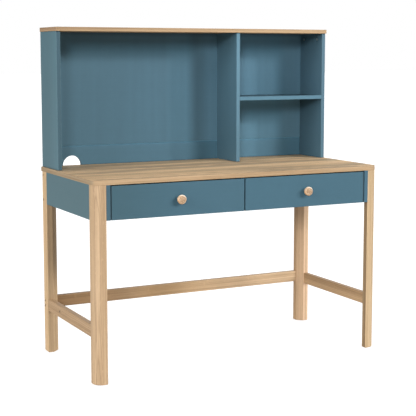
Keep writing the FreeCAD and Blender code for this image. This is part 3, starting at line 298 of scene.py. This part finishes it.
def veneer(name, low, high, seed, light, mid, grey, dark, band_light, band_dark, rough=(0.66, 0.74), light_ramps=None, band_light_ramps=None, end_grain=(0.78, 0.84, 0.90)):
    """A board faced with flat-cut oak whose grain runs along X in leaves about 0.3 m wide, and a golden band glued round its edge."""
    net = Net(name)
    rnd = random.Random(seed)
    off = [rnd.uniform(-7, 7) for _ in range(3)]
    x, y, z = net.split(net.place)
    own = net.vmath("ADD", net.place, off)
    # leaves of the sheet
    leaf = 0.285
    part = net.math("DIVIDE", net.math("ADD", y, 0.93), leaf)
    which = net.math("FLOOR", part)
    across = net.math("MULTIPLY", net.math("SUBTRACT", net.math("SUBTRACT", part, which), 0.5), leaf)
    odd = net.math("SUBTRACT", net.math("MULTIPLY", net.math("FRACT", net.math("MULTIPLY", which, 0.618)), 2.0), 1.0)
    slow = net.span(net.noise(own, 1.0, (1.1, 6.0, 3), detail=2.0, rough=0.5), 0, 1, -0.060, 0.060)
    quick = net.span(net.noise(own, 1.0, (6.5, 38, 30), detail=3.0, rough=0.5), 0, 1, -0.0045, 0.0045)
    run = net.math("ADD", net.math("MULTIPLY", net.math("ADD", x, net.math("MULTIPLY", odd, 0.55)), 0.060), 0.085)
    pb = net.math("ADD", across, net.math("ADD", slow, quick))
    radius = net.math("SQRT", net.math("ADD", net.math("MULTIPLY", pb, pb), net.math("MULTIPLY", run, run)))
    even = net.math("DIVIDE", radius, 0.0062)
    even = net.math("ADD", even, net.span(net.noise(net.join(net.math("MULTIPLY", even, 0.3), 1.3, which), 1.0, detail=1.0), 0, 1, -1.3, 1.3))
    phase = net.math("FRACT", even)
    late = net.ramp(phase, [(0.0, 0.7), (0.12, 1.0), (0.30, 0.30), (0.62, 0.0), (0.90, 0.35), (1.0, 0.7)])
    streak = net.noise(own, 1.0, (1.5, 21, 8), detail=4.0, rough=0.60, bend=0.25)
    wide = net.noise(own, 1.0, (0.75, 9.5, 4), detail=2.0, rough=0.5)
    thin = net.noise(own, 1.0, (3.2, 120, 40), detail=3.0, rough=0.6)
    fibre = net.noise(own, 1.0, (16, 950, 300), detail=2.0, rough=0.6)
    tube = net.noise(own, 1.0, (42, 1300, 400), detail=1.0, rough=0.4)
    tube = net.math("MULTIPLY", net.rise(tube, 0.59, 0.70), net.span(late, 0, 1, 0.35, 1.0))
    face = net.mix(net.rise(wide, 0.40, 0.60), light, mid)
    face = net.mix(net.math("MULTIPLY", net.rise(streak, 0.44, 0.58), 0.92), face, grey)
    face = net.mix(net.math("MULTIPLY", late, 0.34), face, dark)
    face = net.mix(net.math("MULTIPLY", net.rise(thin, 0.50, 0.68), 0.45), face, dark)
    face = net.tint(face, net.span(fibre, 0.2, 0.8, 0.95, 1.045))
    face = painted_light_ramps(net, face, light_ramps)
    face = net.mix(net.math("MULTIPLY", tube, 0.50), face, dull(dark, 0.55))
    # the band round the edge, its grain along the edge in both directions
    length = net.math("ADD", x, y)
    tape = net.join(length, 0.37, z)
    lines = net.noise(tape, 1.0, (2.4, 1, 210), detail=3.0, rough=0.6)
    hair = net.noise(tape, 1.0, (22, 1, 1300), detail=2.0, rough=0.6)
    patch = net.noise(tape, 1.0, (7, 1, 20), detail=2.0)
    edge_colour = net.mix(net.rise(lines, 0.36, 0.66), band_light, band_dark)
    edge_colour = net.tint(edge_colour, net.span(hair, 0.2, 0.8, 0.94, 1.05))
    edge_colour = net.tint(edge_colour, net.span(patch, 0.2, 0.8, 0.95, 1.04))
    edge_colour = painted_light_ramps(net, edge_colour, band_light_ramps)
    nx, ny, nz = net.split(net.normal)
    # the short sides carry a duller length of band than the long ones
    edge_colour = net.mix(net.rise(net.math("ABSOLUTE", nx), 0.75, 0.95), edge_colour, net.vmath("MULTIPLY", edge_colour, end_grain))
    flat = net.rise(net.math("ABSOLUTE", nz), 0.80, 0.90)
    colour = net.mix(flat, edge_colour, face)
    # faint handling marks on the face, where the lacquer is a little smoother
    touch = net.noise(own, 5.0, detail=3.0, rough=0.6)
    edge, middle = near_edge(net, low, high, 0.0042)
    rub = net.math("MULTIPLY", edge, net.rise(net.noise(own, 42.0, detail=3.0), 0.38, 0.66))
    colour = net.mix(net.math("MULTIPLY", rub, 0.20), colour, dull(band_light, 1.12))
    height = net.math("SUBTRACT", net.math("MULTIPLY", fibre, 0.30), net.math("ADD", tube, net.math("MULTIPLY", late, 0.22)))
    height = net.math("MULTIPLY", height, flat)
    height = net.math("ADD", height, net.math("MULTIPLY", net.math("MULTIPLY", hair, 0.4), net.math("SUBTRACT", 1.0, flat)))
    r = net.span(net.math("ADD", net.math("MULTIPLY", touch, 0.7), net.math("MULTIPLY", fibre, 0.3)), 0.25, 0.75, rough[0], rough[1])
    r = net.math("ADD", r, net.math("MULTIPLY", tube, 0.10), clamp=True)
    return net.finish(colour, r, net.bump(height, 0.30, 0.00018), Specular_IOR_Level=0.22)


# ---------------------------------------------------------------- paint, metal and the rest

def paint(name, low, high, seed, base, bright=None, rough=(0.46, 0.56), grain_axis=0, level=1.0, front=1.0, light_ramps=None, bands=None, contact_shade=False, bevel_light=None, upper_shade=1.0, wear=0.5, ends=None, light_pools=()):
    """Satin blue-grey paint on board: a faint cloudiness, fine spray texture, and edges rubbed a little lighter where hands and cloths pass."""
    net = Net(name)
    rnd = random.Random(seed)
    off = [rnd.uniform(-9, 9) for _ in range(3)]
    own = net.vmath("ADD", net.place, off)
    bright = bright or tuple(min(1.0, v * 1.32 + 0.012) for v in base)
    cloud = net.noise(own, 2.3, detail=2.0, rough=0.5)
    fine = net.noise(own, 38.0, detail=4.0, rough=0.65)
    speck = net.noise(own, 620.0, detail=2.0, rough=0.6)
    peel = net.noise(own, 210.0, detail=2.0, rough=0.45)
    # the coat was drawn out along the board, which leaves very faint long lines
    drawn = [3.0, 150.0, 150.0]
    drawn = drawn[-grain_axis:] + drawn[:-grain_axis] if grain_axis else drawn
    lines = net.noise(own, 1.0, tuple(drawn), detail=2.0, rough=0.5)
    # the level lightens or darkens the whole piece: painted light and shade for how the piece is lit
    colour = net.tint(base, net.span(cloud, 0.2, 0.8, 0.965 * level, 1.035 * level))
    colour = net.tint(colour, net.span(fine, 0.2, 0.8, 0.972, 1.028))
    colour = net.tint(colour, net.span(speck, 0.2, 0.8, 0.975, 1.025))
    colour = net.tint(colour, net.span(lines, 0.2, 0.8, 0.985, 1.015))
    plain = colour
    colour = painted_light_ramps(net, colour, light_ramps)
    for left, bottom, full, end, value in light_pools:
        # painted pools of light that lift the deep shade in the cubbies, right of left and from bottom up to end
        px, py, pz = net.split(net.place)
        light_pool_mask = net.math("MULTIPLY", net.rise(px, left - 0.010, left + 0.010), net.math("MULTIPLY", net.rise(pz, bottom, full), net.math("SUBTRACT", 1.0, net.rise(pz, end, end + 0.004))))
        colour = net.tint(colour, net.span(light_pool_mask, 0.0, 1.0, 1.0, value))
    if isinstance(light_ramps, list):
        # the painted light and shade ramps stay off the back faces, which keep the plain coat
        colour = net.mix(net.span(net.split(net.normal)[1], -0.30, 0.0, 0.0, 1.0), colour, plain)
    if bands:
        # faint upright bands of lighter and darker tone across the big panel
        upright_bands = net.noise(own, 1.0, (1.0 / bands[0], 4.0, 1.6), detail=2.0, rough=0.55)
        colour = net.tint(colour, net.span(upright_bands, 0.25, 0.75, 1.0 - bands[1], 1.0 + bands[1]))
    if front != 1.0:
        # painted light and shade: the narrow front edge is lightened or darkened by a factor, for how the light falls
        # on it
        forward = net.split(net.normal)[1]
        if hasattr(front, "__len__"):
            colour = net.vmath("MULTIPLY", colour, net.mix(net.span(forward, -0.95, -0.60, 0.0, 1.0), front, (1.0, 1.0, 1.0)))
        else:
            colour = net.tint(colour, net.span(forward, -0.95, -0.60, front, 1.0))
    if upper_shade != 1.0:
        # painted shade: the top face is darkened, as it lies in shade
        colour = net.tint(colour, net.span(net.split(net.normal)[2], 0.80, 0.95, 1.0, upper_shade))
    if bevel_light:
        # painted light: the bevel under the seam is lightened against its shade, and a band of the rail reaching 14 mm
        # below the seam a little, as a highlight
        seam, bevel_lift, below, under = bevel_light
        colour = net.tint(colour, net.span(net.split(net.normal)[2], 0.30, 0.50, 1.0, bevel_lift))
        colour = net.tint(colour, net.span(net.split(net.place)[2], seam - 0.0190, seam - 0.0140, 1.0, below))
        # painted light: the shaded top of the bevel is lightened further, on the front faces only
        lit_bevel_top = net.tint(colour, net.span(net.split(net.place)[2], seam - 0.0026, seam - 0.0012, 1.0, under))
        colour = net.mix(net.span(net.split(net.normal)[1], -0.30, 0.0, 1.0, 0.0), colour, lit_bevel_top)
    edge, middle = near_edge(net, low, high, 0.0030)
    broken = net.rise(net.noise(own, 55.0, detail=4.0, rough=0.65), 0.36, 0.66)
    rub = net.math("MULTIPLY", edge, net.span(broken, 0, 1, 0.25, 1.0))
    colour = net.mix(net.math("MULTIPLY", rub, wear), colour, bright)
    if ends:
        # painted shade: the arrises beside the gaps are darkened, as the shade in the gaps
        across = net.split(net.place)[0]
        first = net.math("SUBTRACT", 1.0, net.rise(across, low[0] + ends[0] * 0.5, low[0] + ends[0]))
        last = net.rise(across, high[0] - ends[1], high[0] - ends[1] * 0.5)
        colour = net.mix(net.math("MULTIPLY", net.math("MAXIMUM", first, last), 0.85), colour, dull(base, 0.22))
    if contact_shade:
        # painted shade: the foot of the board, where it meets the desktop, is darkened as a contact shadow
        foot = net.math("SUBTRACT", 1.0, net.rise(net.split(net.place)[2], low[2] + 0.0006, low[2] + 0.0032))
        colour = net.mix(net.math("MULTIPLY", foot, 0.80), colour, dull(base, 0.28))
    # dust-fine scuffs, sparse
    scuff = net.noise(own, 1.0, (26, 26, 140), detail=3.0, rough=0.7)
    scuff = net.math("MULTIPLY", net.rise(scuff, 0.70, 0.80), net.rise(net.noise(own, 4.0, detail=1.0), 0.52, 0.70))
    colour = net.mix(net.math("MULTIPLY", scuff, 0.16), colour, bright)
    height = net.math("ADD", net.math("MULTIPLY", peel, 0.6), net.math("ADD", net.math("MULTIPLY", speck, 0.18), net.math("MULTIPLY", lines, 0.25)))
    r = net.span(net.math("ADD", net.math("MULTIPLY", cloud, 0.5), net.math("MULTIPLY", fine, 0.5)), 0.3, 0.7, rough[0], rough[1])
    r = net.math("SUBTRACT", r, net.math("MULTIPLY", rub, 0.08))
    r = net.math("ADD", r, net.math("MULTIPLY", scuff, 0.10), clamp=True)
    return net.finish(colour, r, net.bump(height, 0.10, 0.00025), Specular_IOR_Level=0.36)


def zinc(name, seed, base=(0.62, 0.62, 0.60), rough=(0.28, 0.46)):
    """Zinc-plated steel, with the cloudy spangle of the plating and fine scratches."""
    net = Net(name)
    rnd = random.Random(seed)
    own = net.vmath("ADD", net.place, [rnd.uniform(-9, 9) for _ in range(3)])
    spangle = net.cells(own, 420.0)
    cloud = net.noise(own, 90.0, detail=3.0, rough=0.6)
    scratch = net.noise(own, 1.0, (300, 2600, 2600), detail=2.0, rough=0.6)
    colour = net.tint(base, net.span(spangle, 0.0, 0.8, 0.90, 1.06))
    colour = net.mix(net.math("MULTIPLY", net.rise(cloud, 0.55, 0.75), 0.35), colour, (0.40, 0.38, 0.33))
    r = net.span(net.math("ADD", net.math("MULTIPLY", cloud, 0.6), net.math("MULTIPLY", scratch, 0.4)), 0.3, 0.7, rough[0], rough[1])
    return net.finish(colour, r, net.bump(net.math("ADD", scratch, net.math("MULTIPLY", spangle, 0.3)), 0.12, 0.00005), Metallic=1.0)


def nylon(name, seed):
    """Moulded white nylon with a fine eroded texture, dustier towards the floor."""
    net = Net(name)
    rnd = random.Random(seed)
    own = net.vmath("ADD", net.place, [rnd.uniform(-9, 9) for _ in range(3)])
    x, y, z = net.split(net.place)
    grit = net.noise(own, 1400.0, detail=2.0, rough=0.6)
    cloud = net.noise(own, 60.0, detail=3.0, rough=0.5)
    colour = net.tint((0.66, 0.65, 0.61), net.span(cloud, 0.2, 0.8, 0.95, 1.03))
    dust = net.math("MULTIPLY", net.math("SUBTRACT", 1.0, net.rise(z, 0.0, 0.004)), net.rise(cloud, 0.35, 0.65))
    colour = net.mix(net.math("MULTIPLY", dust, 0.35), colour, (0.30, 0.28, 0.25))
    r = net.span(grit, 0.3, 0.7, 0.42, 0.58)
    return net.finish(colour, r, net.bump(grit, 0.15, 0.0001), Specular_IOR_Level=0.45)


def hardboard(name, seed):
    """Brown pressed fibreboard, smooth side up."""
    net = Net(name)
    rnd = random.Random(seed)
    own = net.vmath("ADD", net.place, [rnd.uniform(-9, 9) for _ in range(3)])
    felt = net.noise(own, 1.0, (240, 240, 600), detail=5.0, rough=0.7, bend=0.4)
    flake = net.noise(own, 95.0, detail=4.0, rough=0.7)
    cloud = net.noise(own, 6.0, detail=3.0, rough=0.5)
    colour = net.mix(net.rise(felt, 0.30, 0.70), (0.235, 0.135, 0.070), (0.120, 0.062, 0.030))
    colour = net.mix(net.math("MULTIPLY", net.rise(flake, 0.58, 0.72), 0.5), colour, (0.33, 0.21, 0.12))
    colour = net.tint(colour, net.span(cloud, 0.2, 0.8, 0.92, 1.07))
    r = net.span(felt, 0.25, 0.75, 0.46, 0.66)
    return net.finish(colour, r, net.bump(felt, 0.22, 0.0002), Specular_IOR_Level=0.35)


# ---------------------------------------------------------------- colours

OAK_LIGHT, OAK_MID, OAK_DARK, OAK_PORE = (0.582, 0.400, 0.241), (0.448, 0.296, 0.169), (0.272, 0.169, 0.087), (0.141, 0.085, 0.044)
TOP_LIGHT, TOP_MID, TOP_GREY, TOP_DARK = (0.810, 0.569, 0.333), (0.688, 0.478, 0.276), (0.425, 0.320, 0.207), (0.273, 0.182, 0.104)
BAND_LIGHT, BAND_DARK = (0.502, 0.349, 0.207), (0.386, 0.253, 0.140)
KNOB_LIGHT, KNOB_MID, KNOB_DARK, KNOB_PORE = (0.715, 0.515, 0.345), (0.630, 0.435, 0.280), (0.370, 0.220, 0.115), (0.220, 0.120, 0.058)
BIRCH_LIGHT, BIRCH_MID, BIRCH_DARK, BIRCH_PORE = (0.640, 0.490, 0.320), (0.560, 0.410, 0.255), (0.430, 0.290, 0.165), (0.320, 0.210, 0.120)
BEECH_LIGHT, BEECH_MID, BEECH_DARK, BEECH_PORE = (0.540, 0.350, 0.220), (0.480, 0.300, 0.185), (0.380, 0.225, 0.130), (0.300, 0.170, 0.095)
BLUE = (0.0557, 0.1306, 0.1817)

# painted light and shade: the blue lightened or darkened piece by piece for how each piece is lit
PAINT_LEVEL_AS_LIT = {"drawer_left_front": 0.85, "drawer_right_front": 0.86, "case_side_left": 0.96, "case_side_right": 0.96, "hutch_back_panel": 1.045, "hutch_back_rail": 1.065, "hutch_divider": 1.08, "hutch_shelf": 1.10, "hutch_side_right": 1.08}
# painted light and shade on the front edges: the hutch's left side darker, divider, shelf and right side lighter
FRONT_EDGE_LIGHT = {"hutch_divider": 1.50, "hutch_shelf": 1.40, "hutch_side_right": 1.25, "hutch_side_left": (0.433, 0.505, 0.550)}
# painted light and shade: ramps of tone along the pieces stand in for shadow edges, pools of light and the falloff of
# lamps; the first ramp on the back panel paints the shadow under the hutch top at half brightness
PAINTED_LIGHT_RAMPS = {"hutch_back_panel": [(2, 1.266, 1.284, 1.0, 0.5), (0, -0.528, -0.462, 1.22, 1.00), (0, -0.50, -0.15, (0.985, 0.960, 0.930), (1.0, 1.0, 1.0)), (0, -0.070, -0.035, 1.00, 1.15), (0, 0.025, 0.064, 1.00, 0.81), (0, 0.080, 0.136, 1.00, 1.45), (0, 0.04, 0.09, (1.0, 1.0, 1.0), (1.18, 1.05, 1.03)), (0, 0.176, 0.190, 1.00, 0.851), (0, 0.176, 0.190, (1.0, 1.0, 1.0), (0.847, 0.952, 0.971)), (0, 0.176, 0.25, 1.00, 1.205), (0, 0.35, 0.42, 1.00, 0.94), (0, 0.47, 0.52, (1.0, 1.0, 1.0), (1.21, 1.06, 1.03))], "hutch_divider": (2, 0.85, 1.15, 0.92, 1.12), "hutch_side_left": (1, 0.104, 0.215, 1.19, 1.0), "hutch_side_right": (2, 0.85, 1.15, 0.94, 1.0), "hutch_back_rail": [(0, -0.528, -0.462, 1.15, 1.00), (0, -0.50, -0.15, (1.00, 0.965, 0.93), (1.0, 1.0, 1.0)), (0, -0.075, 0.03, 1.00, 1.06), (0, 0.04, 0.09, 1.0, 0.90), (0, 0.112, 0.150, 1.00, 1.17), (0, 0.176, 0.25, 1.00, 1.20), (0, 0.40, 0.47, 1.00, 0.81), (0, 0.47, 0.52, 1.00, 1.07)], "drawer_left_front": (0, -0.50, -0.26, (0.93, 0.88, 0.83), (1.02, 1.00, 0.99)), "desktop": (0, -0.55, 0.45, 0.875, 1.08), "back_stretcher": [(0, -0.235, -0.150, (1.0, 1.0, 1.0), (0.87, 0.84, 0.75)), (0, -0.05, 0.24, (1.0, 1.0, 1.0), (1.15, 1.19, 1.33)), (0, 0.42, 0.50, 1.0, 0.90), (0, -0.55, 0.56, (0.60, 0.54, 0.45), (1.38, 1.44, 1.50)), (0, -0.45, 0.05, (0.76, 0.71, 0.62), (1.0, 1.0, 1.0))], "side_stretcher_left": (1, -0.25, 0.25, 0.92, 1.00)}
# painted light and shade on the edge bands, set by height across the edge and along its length
BAND_PAINTED_LIGHT_RAMPS = {"hutch_top": [(2, 1.285, 1.299, 1.11, 0.89), (0, -0.45, 0.25, 0.88, 1.01), (0, -0.6070, -0.50, (0.88, 0.85, 0.82), (1.0, 1.0, 1.0)), (0, -0.6088, -0.6078, (1.335, 1.235, 1.22), (1.0, 1.0, 1.0))], "desktop": (2, 0.733, 0.749, 1.02, 0.96)}
TONE = {"leg_front_left": 0.97, "leg_front_right": 1.12, "leg_rear_left": 1.02, "leg_rear_right": 1.05, "side_stretcher_right": 0.97, "back_stretcher": 0.97}
# painted light and shade on single long faces of the legs
PAINTED_FACE_LIGHT = {"leg_rear_left": {"front": 0.73, "left": 1.28}, "leg_front_right": {"front": (1.03, 1.09, 1.15), "left": (0.545, 0.535, 0.505)}, "leg_rear_right": {"front": (1.22, 1.27, 1.37), "left": (1.07, 1.05, 1.01)}}
HUE = {"side_stretcher_right": (1.02, 0.97, 0.88), "side_stretcher_left": (1.0, 0.98, 0.95), "leg_rear_left": (1.0, 1.02, 0.975), "leg_rear_right": (1.04, 1.02, 1.02), "leg_front_left": (1.03, 1.04, 1.04), "leg_front_right": (1.04, 1.05, 1.0)}
# painted light, shade and sheen: copies of the one blue set piece by piece for how each is lit; the outer sides are
# lighter and greyer where their satin reflects the bright surroundings
SIDE_BLUE_AS_LIT = (0.0820, 0.1560, 0.1865)
BLUE_AS_LIT = {"case_side_left": (0.0490, 0.1040, 0.1360), "side_apron_left": (0.0880, 0.1580, 0.1820), "hutch_side_left": SIDE_BLUE_AS_LIT, "hutch_divider": (0.0612, 0.1279, 0.1713), "hutch_side_right": (0.0602, 0.1222, 0.1639), "hutch_shelf": (0.0574, 0.1287, 0.1747), "drawer_left_front": (0.0549, 0.1371, 0.1888), "drawer_right_front": (0.0539, 0.1371, 0.1888)}
# painted shade beside the gaps at the drawer fronts' ends
GAP_SHADE_ENDS = {"drawer_left_front": (0.0022, 0.0010), "drawer_right_front": (0.0004, 0.0060)}
# painted contact shadow at the foot of these boards
CONTACT_SHADE_PIECES = ("hutch_back_rail", "hutch_divider", "hutch_side_left", "hutch_side_right")


def dress(node, material):
    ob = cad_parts[node]
    ob.data.materials.clear()
    ob.data.materials.append(material)


def make(node, seed):
    low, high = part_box(node)
    size = high - low
    kind = slots[node]
    longest = "XYZ"[max(range(3), key=lambda i: size[i])]
    if kind == "oak_solid":
        knots = []
        if node == "leg_rear_right":
            knots = [(-0.165, -0.006, 0.004, 0.0042)]
        if node == "side_stretcher_left":
            knots = [(0.105, 0.001, -0.010, 0.0045)]
        side = -1 if seed % 2 else 1
        # the face factors and ramps passed here paint light and shade onto the wood
        return timber("oak_" + node, longest, low, high, seed, OAK_LIGHT, OAK_MID, OAK_DARK, OAK_PORE, pith=(0.055 * side, 0.075), knots=knots, tone=TONE.get(node, 1.0), face_light=PAINTED_FACE_LIGHT.get(node), light_ramps=PAINTED_LIGHT_RAMPS.get(node), hue=HUE.get(node))
    if kind == "oak_veneer":
        # the ramps passed here paint light and shade onto the veneer and its band
        return veneer("veneer_" + node, low, high, seed, TOP_LIGHT, TOP_MID, TOP_GREY, TOP_DARK, BAND_LIGHT, BAND_DARK, light_ramps=PAINTED_LIGHT_RAMPS.get(node), band_light_ramps=BAND_PAINTED_LIGHT_RAMPS.get(node))
    if kind == "knob_wood":
        return timber("turned_" + node, "Y", low, high, seed, KNOB_LIGHT, KNOB_MID, KNOB_DARK, KNOB_PORE, rings=0.0034, pith=(0.010, 0.006), waver=0.004, pores=0.65, streak=0.42, rough=(0.34, 0.48), wear=0.2, speckle=0.88, tone=0.92 if node == "drawer_right_knob" else 0.98)
    if kind == "drawer_wood":
        return timber("birch_" + node, longest, low, high, seed, BIRCH_LIGHT, BIRCH_MID, BIRCH_DARK, BIRCH_PORE, rings=0.0065, pith=(0.10, 0.05), pores=0.2, streak=0.35, rough=(0.5, 0.66), fleck=0.1)
    if kind == "dowel_beech":
        return timber("beech_" + node, "Y" if node == "stretcher_dowels" else "Z", low, high, seed, BEECH_LIGHT, BEECH_MID, BEECH_DARK, BEECH_PORE, rings=0.003, pores=0.25, streak=0.3, rough=(0.5, 0.66), wear=0.0)
    if kind == "blue_paint":
        # painted light and shade reaches the paint here through the level, front edges, ramps, bevel, top face, gap
        # ends, foot and pools
        return paint("paint_" + node, low, high, seed, BLUE_AS_LIT.get(node, BLUE), grain_axis="XYZ".index(longest), level=PAINT_LEVEL_AS_LIT.get(node, 1.0), front=FRONT_EDGE_LIGHT.get(node, 1.0), light_ramps=PAINTED_LIGHT_RAMPS.get(node), bands=(0.030, 0.035) if node == "hutch_back_panel" else None, contact_shade=node in CONTACT_SHADE_PIECES, bevel_light=(0.829, 1.12, 1.03, 2.3) if node == "hutch_back_rail" else None, upper_shade=0.62 if node == "hutch_shelf" else 1.0, wear=0.15 if node in GAP_SHADE_ENDS else 0.5, ends=GAP_SHADE_ENDS.get(node), light_pools=((0.185, 0.950, 0.985, 1.004, 1.48), (0.185, 1.225, 1.262, 1.300, 1.22)) if node == "hutch_back_panel" else ())
    if kind == "hardboard":
        return hardboard("fibre_" + node, seed)
    if kind == "nylon":
        return nylon("nylon_" + node, seed)
    if node == "leg_bolts":
        return zinc("dark_" + node, seed, base=(0.085, 0.075, 0.062), rough=(0.38, 0.55))
    return zinc("zinc_" + node, seed)


slots = {}
for slot_name, names in {
    "oak_veneer": ["desktop", "hutch_top"],
    "oak_solid": ["leg_front_left", "leg_front_right", "leg_rear_left", "leg_rear_right", "side_stretcher_left", "side_stretcher_right", "back_stretcher"],
    "knob_wood": ["drawer_left_knob", "drawer_right_knob"],
    "blue_paint": ["back_apron", "case_partition", "case_side_left", "case_side_right", "drawer_left_front", "drawer_right_front", "hutch_back_panel", "hutch_back_rail", "hutch_divider", "hutch_shelf", "hutch_side_left", "hutch_side_right", "side_apron_left", "side_apron_right"],
    "drawer_wood": ["drawer_left_back", "drawer_left_side_inner", "drawer_left_side_outer", "drawer_right_back", "drawer_right_side_inner", "drawer_right_side_outer", "drawer_runners"],
    "hardboard": ["drawer_left_bottom", "drawer_right_bottom"],
    "dowel_beech": ["back_rail_dowels", "drawer_left_dowels", "drawer_right_dowels", "hutch_dowels", "shelf_dowels", "stretcher_dowels"],
    "nylon": ["foot_glides", "drawer_stops"],
}.items():
    for n in names:
        slots[n] = slot_name

for i, node in enumerate(sorted(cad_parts)):
    slots.setdefault(node, "zinc_steel")
    dress(node, make(node, 11 + 7 * i))


# ---------------------------------------------------------------- floor, light and camera

def floor():
    me = bpy.data.meshes.new("floor")
    s = 60.0
    me.from_pydata([(-s, -s, -0.0004), (s, -s, -0.0004), (s, s, -0.0004), (-s, s, -0.0004)], [], [(0, 1, 2, 3)])
    ob = bpy.data.objects.new("floor", me)
    bpy.context.scene.collection.objects.link(ob)
    net = Net("pale_floor")
    tone = net.noise(net.place, 0.6, detail=2.0)
    net.finish(net.tint((0.55, 0.55, 0.55), net.span(tone, 0, 1, 0.995, 1.005)), 0.9, None, Specular_IOR_Level=0.1, Emission_Color=(1, 1, 1, 1))
    # the floor reads as white paper swept up behind the object; what it adds for that doesn't light the object
    path = net.tree.nodes.new("ShaderNodeLightPath")
    net.feed(net.bsdf.inputs["Emission Strength"], net.math("MULTIPLY", path.outputs["Is Camera Ray"], 0.74))
    me.materials.append(net.material)


def sun(name, towards, power, angle, colour=(1, 1, 1)):
    data = bpy.data.lights.new(name, "SUN")
    data.energy = power
    data.angle = math.radians(angle)
    data.color = colour
    ob = bpy.data.objects.new(name, data)
    bpy.context.scene.collection.objects.link(ob)
    ob.rotation_euler = Vector(towards).to_track_quat("Z", "Y").to_euler()
    return ob


floor()
sun("key", (0.65, -1.0, 0.555), 1.56, 15)
sun("key_low", (1.28, -1.0, 0.585), 0.84, 4)
sun("front_left", (-0.50, -0.83, 0.26), 1.42, 12)
sun("left", (-0.92, -0.20, 0.35), 2.12, 40)
sun("above", (0.0, 0.0, 1.0), 0.48, 60)
sun("behind", (0.35, 0.90, 0.35), 0.42, 40)
sun("right", (0.93, 0.05, 0.30), 0.24, 30)

world = bpy.data.worlds.new("studio")
bpy.context.scene.world = world
world.use_nodes = True
wt = world.node_tree
wt.nodes.clear()
w_out = wt.nodes.new("ShaderNodeOutputWorld")
w_mix = wt.nodes.new("ShaderNodeMixShader")
w_path = wt.nodes.new("ShaderNodeLightPath")
w_dim = wt.nodes.new("ShaderNodeBackground")
w_dim.inputs["Color"].default_value = (1, 1, 1, 1)
w_dim.inputs["Strength"].default_value = 0.054
w_white = wt.nodes.new("ShaderNodeBackground")
w_white.inputs["Color"].default_value = (1, 1, 1, 1)
w_white.inputs["Strength"].default_value = 1.0
wt.links.new(w_path.outputs["Is Camera Ray"], w_mix.inputs["Fac"])
wt.links.new(w_dim.outputs[0], w_mix.inputs[1])
wt.links.new(w_white.outputs[0], w_mix.inputs[2])
wt.links.new(w_mix.outputs[0], w_out.inputs["Surface"])

bpy.context.scene.view_settings.view_transform = "Standard"
bpy.context.scene.view_settings.look = "None"
bpy.context.scene.view_settings.exposure = 0.0
bpy.context.scene.view_settings.gamma = 1.0

cam_data = bpy.data.cameras.new("camera")
cam_data.sensor_width = 36.0
cam_data.lens = 96.3
cam_data.shift_x = 0.0
cam_data.shift_y = -0.06
cam_data.clip_start = 0.1
cam_data.clip_end = 200.0
cam = bpy.data.objects.new("camera", cam_data)
bpy.context.scene.collection.objects.link(cam)
cam.location = (-2.0266, -3.9483, 1.1958)
cam.rotation_euler = (math.radians(90) - 0.1152, 0.0, -0.4709)
bpy.context.scene.camera = cam
